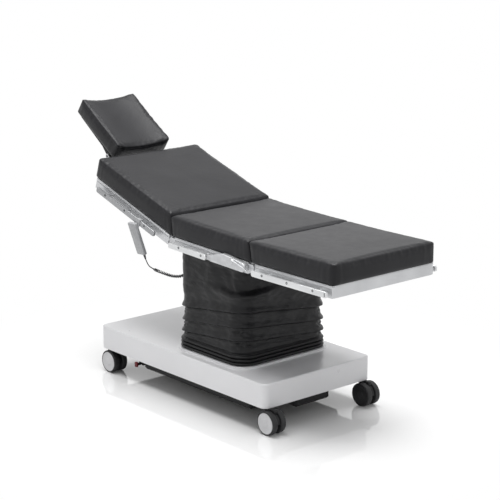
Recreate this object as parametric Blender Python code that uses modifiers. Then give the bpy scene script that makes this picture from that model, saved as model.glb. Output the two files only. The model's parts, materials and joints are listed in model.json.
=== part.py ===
# Mobile operating table on a column, with four padded sections.
# Units are metres, +Z is up, +X runs to the foot end and -Y is the near side.
# The origin is on the floor, under the middle of the table's overall box.

import math

import bmesh
import bpy
from mathutils import Matrix, Vector

MM = 0.001

# Fits
clearance = 0.3 * MM
overrun = 2 * MM
strap_share = 0.9
outline_corner_points = 5
cover_corner_points = 4

# Base cover and chassis
base_half_length = 552 * MM
base_half_width = 296 * MM
base_corner_radius = 28 * MM
cover_low = 106 * MM
cover_high = 208 * MM
cover_wall = 4 * MM
cover_edge = 9 * MM
chassis_thickness = 6 * MM
tray_drop = 50 * MM
tray_head_end = -298 * MM
tray_foot_end = 415 * MM
tray_half_width = 250 * MM
tray_edge = 10 * MM
tray_nose_end = 518 * MM
tray_nose_half_width = 96 * MM
plinth_margin = 9 * MM
plinth_height = 8 * MM
plinth_edge = 3 * MM

# Drive unit inside the base
drive_length = 300 * MM
drive_half_width = 150 * MM
drive_height = 78 * MM
drive_column_gap = 60 * MM
drive_edge = 6 * MM

# Casters
caster_end_inset = 25 * MM
caster_side_inset = 32 * MM
caster_station = base_half_length - caster_end_inset
caster_half_track = base_half_width - caster_side_inset
caster_trail = 31.5 * MM
wheel_radius = 50 * MM
wheel_width = 26 * MM
wheel_gap = 19 * MM
wheel_bore = 5 * MM
tyre_shoulder = 6 * MM
hub_recess = 3 * MM
hub_radius = 40 * MM
hood_radius = 44 * MM
hood_half_width = 7.5 * MM
hood_top_length = 62 * MM
hood_top_height = 16 * MM
stem_radius = 7 * MM
stem_boss_radius = 17 * MM
stem_boss_height = 24 * MM

# Brake pedal under the near side
pedal_station = -293 * MM
pedal_pivot_reach = 262 * MM
pedal_pivot_height = 85 * MM
pedal_hub_radius = 7 * MM
pedal_pin_radius = 4 * MM
pedal_width = 14 * MM
pedal_arm_width = 9 * MM
pedal_reach = 36 * MM
pedal_thickness = 9 * MM
pedal_ear_thickness = 6 * MM
pedal_pad_depth = 8 * MM
pedal_pad_drop = 10 * MM
pedal_pad_rise = 11 * MM

# Lifting column
column_station = 138 * MM
column_half_length = 100 * MM
column_half_width = 85 * MM
tube_wall = 5 * MM
outer_tube_top = 430 * MM
middle_tube_top = 466 * MM
middle_tube_length = 320 * MM
inner_tube_top = 505 * MM
inner_tube_length = 340 * MM
head_plate_thickness = 10 * MM
cylinder_radius = 30 * MM
cylinder_top = 460 * MM
barrel_sides = 16
piston_radius = 18 * MM
piston_foot = 125 * MM

# Tilt joints on top of the column
roll_axis_height = 548 * MM
pitch_axis_height = 596 * MM
roll_ear_radius = 20 * MM
roll_ear_thickness = 12 * MM
yoke_half_length = 36 * MM
yoke_half_width = 38 * MM
yoke_top_rise = 18 * MM
yoke_drop = 16 * MM
tilt_pin_radius = 11 * MM
saddle_cheek_radius = 20 * MM
saddle_cheek_thickness = 14 * MM
saddle_half_length = 110 * MM
saddle_plate_thickness = 10 * MM

# Bellows
bellows_half_length = 222 * MM
bellows_half_width = 252 * MM
bellows_corner_radius = 80 * MM
bellows_wall = 1.5 * MM
bellows_corner_points = 4
bellows_length_taper = 4 * MM
bellows_width_taper = 5 * MM
taper_height = 215 * MM
tight_fold_depth = 6 * MM
tight_fold_pitch = 15 * MM
tight_fold_count = 3
loose_fold_depth = 9.5 * MM
low_ring_share = 0.8
loose_fold_pitches = [54 * MM, 68 * MM, 52 * MM]
drape_swell = 4 * MM
drape_ring_count = 5
collar_thickness = 4 * MM
collar_width = 40 * MM
collar_ear_reach = 17 * MM
collar_ear_half_width = 18 * MM

# Table sections
seat_tilt = math.radians(2.0)
back_angle = math.radians(17.8)
leg_angle = math.radians(0.0)
hinge_rise = 76 * MM
leg_hinge_reach = 307 * MM
back_hinge_reach = 200 * MM
frame_half_width = 275 * MM
frame_height = 45 * MM
frame_top_rise = 16 * MM
frame_bar_width = 20 * MM
frame_end_gap = 20 * MM
crossbar_width = 26 * MM
crossbar_height = 32 * MM
frame_edge = 2 * MM
plate_thickness = 3 * MM
lug_radius = 15 * MM
hinge_pin_radius = 7 * MM
seat_crossbar_shares = (0.006, 0.24, 0.52, 0.93)
leg_frame_length = 459 * MM
back_frame_length = 556 * MM
back_plate_start = 50 * MM
middle_crossbar_share = 0.52
first_crossbar_station = 50 * MM

# Pads
pad_half_width = 275 * MM
pad_cell_counts = (5, 5, 3)
pad_thickness = 84 * MM
pad_edge_radius = 13 * MM
edge_swell_share = 1.12
pad_crown = 5 * MM
pad_side_bulge = 3 * MM
seat_pad_head_gap = -2 * MM
seat_pad_foot_gap = 16 * MM
back_pad_gap = 23 * MM
back_pad_overhang = 11 * MM
leg_pad_gap = -4 * MM
seat_head_lean = 6 * MM
leg_seam_lean = 10 * MM
leg_pad_overhang = 8 * MM

# Side rails
rail_height = 24 * MM
rail_thickness = 10 * MM
rail_standoff = 18 * MM
rail_drop = 11 * MM
rail_corner_radius = 7 * MM
rail_corner_points = 3
standoff_radius = 7 * MM
seat_rail_start = 12 * MM
rail_housing_gap = 6 * MM
leg_rail_start = 28.5 * MM
leg_rail_length = 426 * MM
back_rail_start = 86 * MM
back_rail_length = 425 * MM
standoff_pitch = 145 * MM
rail_first_standoff = 70 * MM

# Housings and release levers beside the seat's foot end
housing_length = 232 * MM
housing_height = 48 * MM
housing_thickness = 25 * MM
housing_end_gap = 14 * MM
housing_edge = 4 * MM
housing_drop = 21 * MM
housing_slope_share = 0.45
housing_crest_share = 0.62
lever_station = 85 * MM
lever_rise = 17 * MM
lever_hub_radius = 13 * MM
lever_hub_height = 9 * MM
lever_pin_radius = 5 * MM
lever_pin_depth = 12 * MM
lever_length = 96 * MM
lever_root_width = 18 * MM
lever_tip_width = 9 * MM
lever_thickness = 6 * MM
lever_taper_share = 0.85
lever_angle = math.radians(11.0)

# Head section
prong_radius = 8 * MM
prong_inside = 100 * MM
head_crossbar_width = 46 * MM
prong_outside = 16 * MM
prong_drop = 6 * MM
head_bridge_width = 17 * MM
head_bridge_height = 26 * MM
neck_axis_reach = 47 * MM
neck_lug_half_spacing = 124 * MM
prong_lug_offset = 34 * MM
prong_half_spacing = neck_lug_half_spacing - prong_lug_offset
neck_lug_radius = 11 * MM
neck_lug_thickness = 10 * MM
neck_pin_radius = 5 * MM
link_length = 96.4 * MM
link_angle = math.radians(30.0)
link_width = 18 * MM
link_tie_radius = 6 * MM
head_angle = math.radians(33.2)
head_pad_length = 307 * MM
head_pad_half_width = 146 * MM
head_pad_thickness = 73 * MM
head_pad_dish = 15 * MM
head_pad_edge_radius = 9 * MM
head_plate_thickness_under_pad = 8 * MM
head_skirt_lines = [
    (-23 * MM, 0),
    (-20 * MM, 33 * MM),
    (-10 * MM, 43 * MM),
    (10 * MM, 43 * MM),
    (22 * MM, 39 * MM),
    (62 * MM, 28 * MM),
    (256 * MM, 21 * MM),
    (260 * MM, 0),
]
head_plate_margin = 12 * MM
head_axis_inset = 35 * MM
head_axis_drop = 32.7 * MM
clamp_hub_radius = 10 * MM
clamp_hub_length = 14 * MM
clamp_arm_length = 46 * MM
clamp_arm_radius = 4 * MM
clamp_pin_radius = 3 * MM
clamp_pin_depth = 8 * MM

# Handset on the near back rail
handset_station = 221 * MM
handset_length = 150 * MM
handset_width = 54 * MM
handset_thickness = 17 * MM
handset_edge = 5 * MM
handset_lean = math.radians(17.0)
handset_stand_off = 3 * MM
handset_swing = math.radians(3.5)
hook_width = 24 * MM
hook_thickness = 3 * MM
hook_return = 14 * MM
hook_offset = 24 * MM
hook_overlap = 14 * MM
keypad_margin = 6 * MM
keypad_thickness = 1.2 * MM
keypad_length = 96 * MM
key_width = 13 * MM
key_height = 9 * MM
key_travel = 1 * MM
key_proud = 1.6 * MM
key_depth = 2 * MM
key_row_pitch = 26 * MM
key_column_pitch = 20 * MM
key_rows = 2
relief_length = 20 * MM
relief_root_radius = 5.5 * MM
relief_tip_radius = 3.4 * MM

# Curly cord of the handset, with its route chosen by hand along the free run
cord_radius = 2.2 * MM
curl_radius = 4.9 * MM
curl_count = 29
points_per_curl = 8
curl_skip_share = 0.7
lead_points = 6
cord_end_points = 3
socket_reach = 130 * MM
socket_length = 25 * MM
socket_half_width = 14 * MM
socket_height = 38 * MM
socket_top_drop = 18 * MM
socket_arm_thickness = 5 * MM
socket_bellows_gap = 8 * MM
socket_edge = 3 * MM

# Knobs that clamp the prongs
knob_radius = 14 * MM
knob_height = 12 * MM
knob_pin_radius = 4 * MM
knob_pin_depth = 8 * MM
knob_inset = 24 * MM

# Mains inlet in the head end of the base
inlet_reach = 120 * MM
inlet_half_width = 24 * MM
inlet_face_height = 30 * MM
inlet_face_low = 120 * MM
inlet_depth = 52 * MM
inlet_socket_margin = 6 * MM
inlet_socket_depth = 14 * MM
inlet_proud = 1 * MM

# Colours, roughness and metal
surfaces = {
    "cover_plastic": ("#d9d9da", 0.35, 0.0),
    "chassis_steel": ("#1c1c1e", 0.50, 0.4),
    "drive_housing": ("#4a4c50", 0.50, 0.2),
    "caster_hub": ("#c4c4c6", 0.45, 0.0),
    "caster_hood": ("#18181a", 0.55, 0.0),
    "pedal_red": ("#7a1414", 0.45, 0.0),
    "column_aluminium": ("#b9bbbe", 0.30, 0.9),
    "cylinder_steel": ("#8c8f94", 0.30, 0.9),
    "bellows_rubber": ("#202022", 0.45, 0.0),
    "frame_aluminium": ("#c8c9cb", 0.32, 0.9),
    "plate_aluminium": ("#d2d3d5", 0.35, 0.9),
    "rail_steel": ("#dededf", 0.22, 1.0),
    "pad_leather": ("#3a3a3e", 0.45, 0.0),
    "lever_metal": ("#a8aaad", 0.30, 0.9),
    "knob_plastic": ("#202022", 0.50, 0.0),
    "handset_plastic": ("#b0b1b3", 0.45, 0.0),
    "keypad_film": ("#5d6065", 0.50, 0.0),
    "key_rubber": ("#e4e4e2", 0.55, 0.0),
    "cord_jacket": ("#3c3c3f", 0.50, 0.0),
}

near = -1
far = 1
side_names = {near: "near", far: "far"}


# Scene and materials

def clear_scene():
    for item in list(bpy.data.objects):
        bpy.data.objects.remove(item, do_unlink=True)


def new_collection(name):
    group = bpy.data.collections.new(name)
    bpy.context.scene.collection.children.link(group)
    return group


def linear(channel):
    return channel / 12.92 if channel <= 0.04045 else ((channel + 0.055) / 1.055) ** 2.4


def surface(slot):
    known = bpy.data.materials.get(slot)
    if known:
        return known
    colour, roughness, metallic = surfaces[slot]
    made = bpy.data.materials.new(slot)
    made.use_nodes = True
    shader = made.node_tree.nodes["Principled BSDF"]
    rgb = [linear(int(colour[i:i + 2], 16) / 255) for i in (1, 3, 5)]
    shader.inputs["Base Color"].default_value = (*rgb, 1)
    shader.inputs["Roughness"].default_value = roughness
    shader.inputs["Metallic"].default_value = metallic
    made.diffuse_color = (*rgb, 1)
    return made


def pivot(name, parent, place, turn=None):
    """An empty that carries a group of pieces, placed in its parent's frame."""
    marker = bpy.data.objects.new(name, None)
    table.objects.link(marker)
    marker.parent = parent
    marker.matrix_local = Matrix.Translation(place) @ (turn or Matrix.Identity(4))
    return marker


def about_y(angle):
    return Matrix.Rotation(angle, 4, "Y")


# Shapes

def from_bmesh(bm):
    mesh = bpy.data.meshes.new("shape")
    bm.to_mesh(mesh)
    bm.free()
    shape = bpy.data.objects.new("shape", mesh)
    shaping.objects.link(shape)
    return shape


def bake(shape):
    """Replace a shape's modifiers, or its curve, by the mesh that they make."""
    graph = bpy.context.evaluated_depsgraph_get()
    mesh = bpy.data.meshes.new_from_object(shape.evaluated_get(graph))
    if shape.type == "MESH":
        shape.modifiers.clear()
        shape.data = mesh
        return shape
    bm = bmesh.new()
    bm.from_mesh(mesh)
    bmesh.ops.remove_doubles(bm, verts=bm.verts, dist=weld_distance)
    bmesh.ops.recalc_face_normals(bm, faces=bm.faces)
    made = from_bmesh(bm)
    made.matrix_world = shape.matrix_world
    bpy.data.objects.remove(shape, do_unlink=True)
    return made


def soften(shape, edge, steps=2):
    if edge > 0:
        bevel = shape.modifiers.new("edge", "BEVEL")
        bevel.width = edge
        bevel.segments = steps
        bevel.limit_method = "ANGLE"
        bevel.use_clamp_overlap = True
        bake(shape)
    return shape


def block(x, y, z, edge=0, steps=1):
    """A box between two ends along each axis, with edges of one radius."""
    bm = bmesh.new()
    bmesh.ops.create_cube(bm, size=1)
    size = Vector((x[1] - x[0], y[1] - y[0], z[1] - z[0]))
    middle = Vector((x[0] + x[1], y[0] + y[1], z[0] + z[1])) / 2
    bmesh.ops.transform(bm, matrix=Matrix.Diagonal((*size, 1)), verts=bm.verts)
    bmesh.ops.translate(bm, vec=middle, verts=bm.verts)
    return soften(from_bmesh(bm), edge, steps)


def rod(start, end, radius, tip_radius=None, sides=12):
    """A round bar between two points, tapered if the tip has its own radius."""
    start, end = Vector(start), Vector(end)
    run = end - start
    bm = bmesh.new()
    bmesh.ops.create_cone(
        bm,
        cap_ends=True,
        segments=sides,
        radius1=radius,
        radius2=radius if tip_radius is None else tip_radius,
        depth=run.length,
    )
    turn = run.to_track_quat("Z", "Y").to_matrix().to_4x4()
    bmesh.ops.transform(bm, matrix=Matrix.Translation((start + end) / 2) @ turn, verts=bm.verts)
    return from_bmesh(bm)


def bore(start, end, pin_radius, sides=12):
    """A cutter for a hole that clears a round pin of the given radius all the way round."""
    return rod(start, end, (pin_radius + clearance) / math.cos(math.pi / sides), sides=sides)


def turned(profile, sides=20, closed=False):
    """A shape turned about Z from points (radius, height) that run down its outer side."""
    bm = bmesh.new()
    points = [bm.verts.new((radius, 0, height)) for radius, height in profile]
    pairs = list(zip(points, points[1:]))
    if closed:
        pairs.append((points[-1], points[0]))
    for a, b in pairs:
        bm.edges.new((a, b))
    shape = from_bmesh(bm)
    screw = shape.modifiers.new("turn", "SCREW")
    screw.axis = "Z"
    screw.steps = sides
    screw.render_steps = sides
    screw.use_merge_vertices = True
    screw.merge_threshold = weld_distance
    return bake(shape)


def slab(outline, low, high, lay="XY", edge=0, steps=2):
    """A flat outline given thickness from low to high, laid in the XY or the XZ plane."""
    curve = bpy.data.curves.new("outline", "CURVE")
    curve.dimensions = "2D"
    curve.fill_mode = "BOTH"
    curve.extrude = (high - low) / 2
    spline = curve.splines.new("POLY")
    spline.points.add(len(outline) - 1)
    for point, (a, b) in zip(spline.points, outline):
        point.co = (a, b, 0, 1)
    spline.use_cyclic_u = True
    shape = bpy.data.objects.new("outline", curve)
    shaping.objects.link(shape)
    shape = bake(shape)
    middle = (high + low) / 2
    if lay == "XY":
        place = Matrix.Translation((0, 0, middle))
    else:
        place = Matrix.Translation((0, middle, 0)) @ Matrix.Rotation(math.pi / 2, 4, "X")
    shape.data.transform(place)
    shape.data.update()
    return soften(shape, edge, steps)


def rounded_outline(half_a, half_b, radius, points=outline_corner_points, centre=(0, 0)):
    """The corner points of a rounded rectangle, counter-clockwise."""
    outline = []
    for corner in range(4):
        quarter = corner * math.pi / 2
        sign_a = 1 if corner in (0, 3) else -1
        sign_b = 1 if corner in (0, 1) else -1
        for step in range(points):
            angle = quarter + step * math.pi / 2 / (points - 1)
            a = centre[0] + sign_a * (half_a - radius) + radius * math.cos(angle)
            b = centre[1] + sign_b * (half_b - radius) + radius * math.sin(angle)
            outline.append((a, b))
    return outline


def join(body, *others, operation="UNION"):
    """Fuse shapes into one body, or cut them out of it."""
    for other in others:
        step = body.modifiers.new("join", "BOOLEAN")
        step.operation = operation
        step.solver = "EXACT"
        step.object = other
        bake(body)
        bpy.data.objects.remove(other, do_unlink=True)
    return body


def cut(body, *others):
    return join(body, *others, operation="DIFFERENCE")


def place(shape, matrix):
    shape.data.transform(matrix)
    shape.data.update()
    return shape


def piece(shape, name, slot, carrier):
    """Name a finished shape as a part of the table and hang it on its carrier."""
    shape.name = name
    shape.data.name = name
    shaping.objects.unlink(shape)
    table.objects.link(shape)
    shape.parent = carrier
    shape.matrix_local = Matrix.Identity(4)
    shape.data.materials.clear()
    shape.data.materials.append(surface(slot))
    shape.data.shade_smooth()
    shape.data.set_sharp_from_angle(angle=smooth_angle)
    return shape


weld_distance = 0.01 * MM
smooth_angle = math.radians(35)


# Base

def build_base():
    outline = rounded_outline(base_half_length, base_half_width, base_corner_radius, cover_corner_points)
    cover = slab(outline, cover_low, cover_high)
    top_edge = cover.modifiers.new("top edge", "BEVEL")
    top_edge.width = cover_edge
    top_edge.segments = 2
    top_edge.limit_method = "WEIGHT"
    weights = cover.data.attributes.new("bevel_weight_edge", "FLOAT", "EDGE")
    for edge in cover.data.edges:
        ends = [cover.data.vertices[i].co.z for i in edge.vertices]
        weights.data[edge.index].value = 1.0 if min(ends) > cover_high - weld_distance else 0.0
    bake(cover)
    plinth = rounded_outline(
        bellows_half_length + plinth_margin,
        bellows_half_width + plinth_margin,
        bellows_corner_radius + plinth_margin,
        points=4,
        centre=(column_station, 0),
    )
    plinth_top = cover_high + plinth_height
    join(cover, slab(plinth, cover_high - cover_wall / 2, plinth_top, edge=plinth_edge, steps=1))
    hollow = rounded_outline(
        base_half_length - cover_wall,
        base_half_width - cover_wall,
        base_corner_radius - cover_wall,
        points=4,
    )
    cut(cover, slab(hollow, cover_low - overrun, cover_high - cover_wall))
    well = rounded_outline(
        bellows_half_length - tight_fold_depth - cover_wall,
        bellows_half_width - tight_fold_depth - cover_wall,
        bellows_corner_radius,
        points=4,
        centre=(column_station, 0),
    )
    cut(cover, slab(well, cover_high - 2 * cover_wall, plinth_top + overrun))
    inlet_y = (inlet_reach - inlet_half_width, inlet_reach + inlet_half_width)
    face_z = (inlet_face_low, inlet_face_low + inlet_face_height)
    opening = block(
        (-base_half_length - overrun, -base_half_length + 2 * cover_wall),
        (inlet_y[0] - clearance, inlet_y[1] + clearance),
        (face_z[0] - clearance, face_z[1] + clearance),
    )
    cut(cover, opening)
    piece(cover, "base_cover", "cover_plastic", root)

    inside = -base_half_length + cover_wall + clearance
    inlet = block((inside, inside + inlet_depth), inlet_y, (chassis_top + clearance, face_z[1]))
    join(inlet, block((-base_half_length - inlet_proud, inside + cover_wall), inlet_y, face_z))
    recess = block(
        (-base_half_length - overrun, -base_half_length + inlet_socket_depth),
        (inlet_y[0] + inlet_socket_margin, inlet_y[1] - inlet_socket_margin),
        (face_z[0] + inlet_socket_margin, face_z[1] - inlet_socket_margin),
    )
    piece(cut(inlet, recess), "mains_inlet", "chassis_steel", root)

    floor_outline = rounded_outline(
        base_half_length - cover_wall - clearance,
        base_half_width - cover_wall - clearance,
        base_corner_radius - cover_wall - clearance,
        points=4,
    )
    chassis = slab(floor_outline, cover_low, chassis_top)
    tray = block(
        (tray_head_end, tray_foot_end),
        (-tray_half_width, tray_half_width),
        (cover_low - tray_drop, cover_low + chassis_thickness / 2),
        edge=tray_edge,
        steps=1,
    )
    nose = block(
        (tray_foot_end - 2 * tray_edge, tray_nose_end),
        (-tray_nose_half_width, tray_nose_half_width),
        (cover_low - tray_drop + overrun, cover_low + chassis_thickness / 2),
        edge=tray_edge,
        steps=1,
    )
    join(chassis, tray, nose)
    for x, y in caster_places():
        boss_top = chassis_top + stem_boss_height
        join(chassis, rod((x, y, cover_low + chassis_thickness / 2), (x, y, boss_top), stem_boss_radius))
    for x, y in caster_places():
        boss_top = chassis_top + stem_boss_height + overrun
        cut(chassis, bore((x, y, cover_low - overrun), (x, y, boss_top), stem_radius))
    ear_inner = pedal_width / 2 + clearance
    for side in (-1, 1):
        ear_ends = sorted(
            (pedal_station + side * ear_inner, pedal_station + side * (ear_inner + pedal_ear_thickness))
        )
        ear = block(
            ear_ends,
            (-pedal_pivot_reach - pedal_hub_radius, -tray_half_width + tray_edge),
            (pedal_pivot_height - pedal_hub_radius, pedal_pivot_height + pedal_hub_radius),
        )
        join(chassis, ear)
    pin_half = ear_inner + pedal_ear_thickness / 2
    pin = rod(
        (pedal_station - pin_half, -pedal_pivot_reach, pedal_pivot_height),
        (pedal_station + pin_half, -pedal_pivot_reach, pedal_pivot_height),
        pedal_pin_radius,
        sides=12,
    )
    join(chassis, pin)
    piece(chassis, "base_chassis", "chassis_steel", root)

    drive_foot = column_station - column_half_length - drive_column_gap
    drive = block(
        (drive_foot - drive_length, drive_foot),
        (-drive_half_width, drive_half_width),
        (chassis_top + clearance, chassis_top + clearance + drive_height),
        edge=drive_edge,
    )
    piece(drive, "drive_unit", "drive_housing", root)


def caster_places():
    sides = (-caster_half_track, caster_half_track)
    return [(x, y) for x in (-caster_station, caster_station) for y in sides]


# Casters

def wheel_profile():
    """Outer side of a twin wheel from one face to the other, as (radius, offset) along the axle."""
    outer = wheel_gap / 2 + wheel_width
    inner = wheel_gap / 2
    axle = wheel_bore
    half = [
        (0, outer - hub_recess),
        (hub_radius - hub_recess, outer - hub_recess),
        (hub_radius, outer),
        (wheel_radius - tyre_shoulder, outer),
        (wheel_radius, outer - tyre_shoulder),
        (wheel_radius, inner),
        (axle, inner),
    ]
    return half + [(radius, -offset) for radius, offset in reversed(half)]


def build_casters():
    for number, (x, y) in enumerate(caster_places(), start=1):
        swivel = pivot(f"caster_{number}_swivel", root, (x, y, 0))
        hood_top = cover_low - clearance
        hood = slab(
            [
                (
                    caster_trail + hood_radius * math.cos(angle),
                    wheel_radius + hood_radius * math.sin(angle),
                )
                for angle in [i * math.pi / 8 for i in range(9)]
            ],
            -hood_half_width,
            hood_half_width,
            lay="XZ",
        )
        crown = block(
            (-stem_radius, hood_top_length - stem_radius),
            (-hood_half_width, hood_half_width),
            (hood_top - hood_top_height, hood_top),
        )
        join(hood, crown)
        thrust_radius = stem_radius + clearance + overrun
        thrust = rod((0, 0, hood_top - hood_top_height), (0, 0, hood_top), thrust_radius)
        stem_end = chassis_top + stem_boss_height
        stem = rod((0, 0, hood_top - hood_top_height), (0, 0, stem_end), stem_radius)
        join(hood, thrust, stem)
        axle_hole = bore(
            (caster_trail, -hood_half_width - overrun, wheel_radius),
            (caster_trail, hood_half_width + overrun, wheel_radius),
            wheel_bore,
        )
        cut(hood, axle_hole)
        piece(hood, f"caster_{number}_fork", "caster_hood", swivel)

        axle = pivot(f"caster_{number}_axle", swivel, (caster_trail, 0, wheel_radius))
        wheels = turned(wheel_profile())
        place(wheels, Matrix.Rotation(math.pi / 2, 4, "X"))
        piece(wheels, f"caster_{number}_wheels", "caster_hub", axle)


def build_pedal():
    axle = pivot("brake_axle", root, (pedal_station, -pedal_pivot_reach, pedal_pivot_height))
    half = pedal_width / 2
    pedal = rod((-half, 0, 0), (half, 0, 0), pedal_hub_radius)
    arm_height = (-pedal_thickness / 2, pedal_thickness / 2)
    arm_half = pedal_arm_width / 2
    arm = block((-arm_half, arm_half), (pedal_pad_depth / 2 - pedal_reach, 0), arm_height)
    join(pedal, arm)
    cut(pedal, bore((-half - overrun, 0, 0), (half + overrun, 0, 0), pedal_pin_radius))
    pad = block(
        (-half, half),
        (-pedal_reach, pedal_pad_depth - pedal_reach),
        (-pedal_pad_drop, pedal_pad_rise),
        edge=overrun / 2,
    )
    join(pedal, pad)
    piece(pedal, "brake_pedal", "pedal_red", axle)


# Lifting column and tilt joints

def tube(half_length, half_width, low, high):
    wall = block((-half_length, half_length), (-half_width, half_width), (low, high), edge=tube_wall / 2)
    inside = block(
        (tube_wall - half_length, half_length - tube_wall),
        (tube_wall - half_width, half_width - tube_wall),
        (low - overrun, high + overrun),
    )
    return cut(wall, inside)


def build_column():
    column = pivot("column_axis", root, (column_station, 0, 0))
    step = tube_wall + clearance
    foot = chassis_top + clearance
    outer = tube(column_half_length, column_half_width, foot, outer_tube_top)
    piece(outer, "column_outer", "column_aluminium", column)
    middle = tube(
        column_half_length - step,
        column_half_width - step,
        middle_tube_top - middle_tube_length,
        middle_tube_top,
    )
    piece(middle, "column_middle", "column_aluminium", column)

    inner = tube(
        column_half_length - 2 * step,
        column_half_width - 2 * step,
        inner_tube_top - inner_tube_length,
        inner_tube_top,
    )
    head_top = inner_tube_top + head_plate_thickness
    cap = block(
        (-column_half_length, column_half_length),
        (-column_half_width, column_half_width),
        (inner_tube_top - clearance, head_top),
        edge=overrun,
    )
    join(inner, cap)
    ear_inner = yoke_half_length + clearance
    ear_outer = ear_inner + roll_ear_thickness
    for side in (-1, 1):
        ends = sorted((side * ear_inner, side * ear_outer))
        ear = rod((ends[0], 0, roll_axis_height), (ends[1], 0, roll_axis_height), roll_ear_radius)
        half_web = roll_ear_radius * strap_share
        web = block(ends, (-half_web, half_web), (head_top - overrun, roll_axis_height))
        join(inner, join(ear, web))
    hole = bore(
        (-ear_outer - overrun, 0, roll_axis_height),
        (ear_outer + overrun, 0, roll_axis_height),
        tilt_pin_radius,
    )
    cut(inner, hole)
    piece(inner, "column_inner", "column_aluminium", column)

    barrel_bore = (piston_radius + clearance) / math.cos(math.pi / barrel_sides)
    barrel = turned(
        [
            (barrel_bore, cylinder_top),
            (cylinder_radius, cylinder_top),
            (cylinder_radius, foot),
            (0, foot),
            (0, piston_foot - clearance),
            (barrel_bore, piston_foot - clearance),
        ],
        sides=barrel_sides,
        closed=True,
    )
    piece(barrel, "lift_cylinder", "cylinder_steel", column)
    piston = rod((0, 0, piston_foot), (0, 0, inner_tube_top - 2 * clearance), piston_radius)
    piece(piston, "lift_piston", "cylinder_steel", column)

    roll = pivot("roll_axis", column, (0, 0, roll_axis_height))
    pitch_rise = pitch_axis_height - roll_axis_height
    yoke = block(
        (-yoke_half_length, yoke_half_length),
        (-yoke_half_width, yoke_half_width),
        (-yoke_drop, pitch_rise + yoke_top_rise),
        edge=overrun,
    )
    pin_reach = yoke_half_length + clearance + roll_ear_thickness
    roll_pin = rod((-pin_reach, 0, 0), (pin_reach, 0, 0), tilt_pin_radius)
    cheek_outer = yoke_half_width + clearance + saddle_cheek_thickness
    pitch_pin = rod((0, -cheek_outer, pitch_rise), (0, cheek_outer, pitch_rise), tilt_pin_radius)
    piece(join(yoke, roll_pin, pitch_pin), "tilt_yoke", "cylinder_steel", roll)


# Bellows

def bellows_size(height, offset):
    """Half length, half width and corner radius of the bellows at one height."""
    share = min(1, (height - bellows_foot) / taper_height)
    inset = tight_fold_depth - offset
    half_length = bellows_half_length - inset - bellows_length_taper * share
    half_width = bellows_half_width - inset - bellows_width_taper * share
    return half_length, half_width, bellows_corner_radius - inset


def pleat_rings():
    """Each ring of the pleats as (height, outward offset), from the plinth upwards."""
    height = bellows_foot
    rings = [(height, 0)]
    for fold in range(tight_fold_count):
        rings.append((height + tight_fold_pitch / 2, tight_fold_depth))
        height += tight_fold_pitch
        rings.append((height, 0))
    for pitch in loose_fold_pitches:
        rings.append((height + pitch / 3, loose_fold_depth * low_ring_share))
        rings.append((height + pitch * 2 / 3, loose_fold_depth))
        height += pitch
        rings.append((height, 0))
    return rings


def drape_rings():
    """The plain upper part, whose last ring follows the tilt of the seat above it."""
    low = pleat_rings()[-1][0] + clearance
    rings = []
    for step in range(drape_ring_count):
        share = step / (drape_ring_count - 1)
        swell = math.sin(math.pi * share) * drape_swell
        rings.append((low + (drape_top - low) * share, swell))
    return rings


def skin(rings, name, lean=0):
    """A thin closed wall through rounded rectangles, one for each ring."""
    bm = bmesh.new()
    loops = []
    bottom, top = rings[0][0], rings[-1][0]
    for height, offset in rings:
        half_length, half_width, radius = bellows_size(height, offset)
        outline = rounded_outline(half_length, half_width, radius, points=bellows_corner_points)
        share = (height - bottom) / (top - bottom)
        loop = [bm.verts.new((a, b, height - a * lean * share)) for a, b in outline]
        loops.append([bm.edges.new((p, q)) for p, q in zip(loop, loop[1:] + loop[:1])])
    for low, high in zip(loops, loops[1:]):
        bmesh.ops.bridge_loops(bm, edges=low + high)
    bmesh.ops.recalc_face_normals(bm, faces=bm.faces)
    shape = from_bmesh(bm)
    wall = shape.modifiers.new("wall", "SOLIDIFY")
    wall.thickness = bellows_wall
    wall.offset = -1
    wall.use_rim = True
    bake(shape)
    return piece(shape, name, "bellows_rubber", bpy.data.objects["column_axis"])


def build_bellows():
    skin(pleat_rings(), "bellows_pleats")
    skin(drape_rings(), "bellows_drape", lean=math.tan(seat_tilt))


def build_collar(hinge_line):
    """The ring under the seat that holds the bellows' top, with an ear for the cord's socket."""
    top = frame_bottom - clearance
    low = top - collar_thickness
    half_length, half_width, radius = bellows_size(drape_top, 0)
    ring = slab(rounded_outline(half_length, half_width, radius, points=bellows_corner_points), low, top)
    ear = block(
        (-half_length - collar_ear_reach, -half_length + collar_width / 2),
        (-socket_reach - collar_ear_half_width, -socket_reach + collar_ear_half_width),
        (low, top),
    )
    join(ring, ear)
    hole = rounded_outline(
        half_length - collar_width,
        half_width - collar_width,
        radius - collar_width / 2,
        points=bellows_corner_points,
    )
    cut(ring, slab(hole, low - overrun, top + overrun))
    piece(ring, "bellows_collar", "chassis_steel", hinge_line)
    return half_length


# Table sections

def cage(cells):
    """The surface of a box from -1 to 1, with its own count of cells along each axis."""
    bm = bmesh.new()
    made = {}

    def corner(spot):
        if spot not in made:
            made[spot] = bm.verts.new([2 * spot[i] / cells[i] - 1 for i in range(3)])
        return made[spot]

    for axis in range(3):
        a, b = (axis + 1) % 3, (axis + 2) % 3
        for level in (0, cells[axis]):
            for i in range(cells[a]):
                for j in range(cells[b]):
                    face = []
                    for step_a, step_b in ((0, 0), (1, 0), (1, 1), (0, 1)):
                        spot = [0, 0, 0]
                        spot[axis] = level
                        spot[a] = i + step_a
                        spot[b] = j + step_b
                        face.append(corner(tuple(spot)))
                    bm.faces.new(face if level else face[::-1])
    return bm


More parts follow.
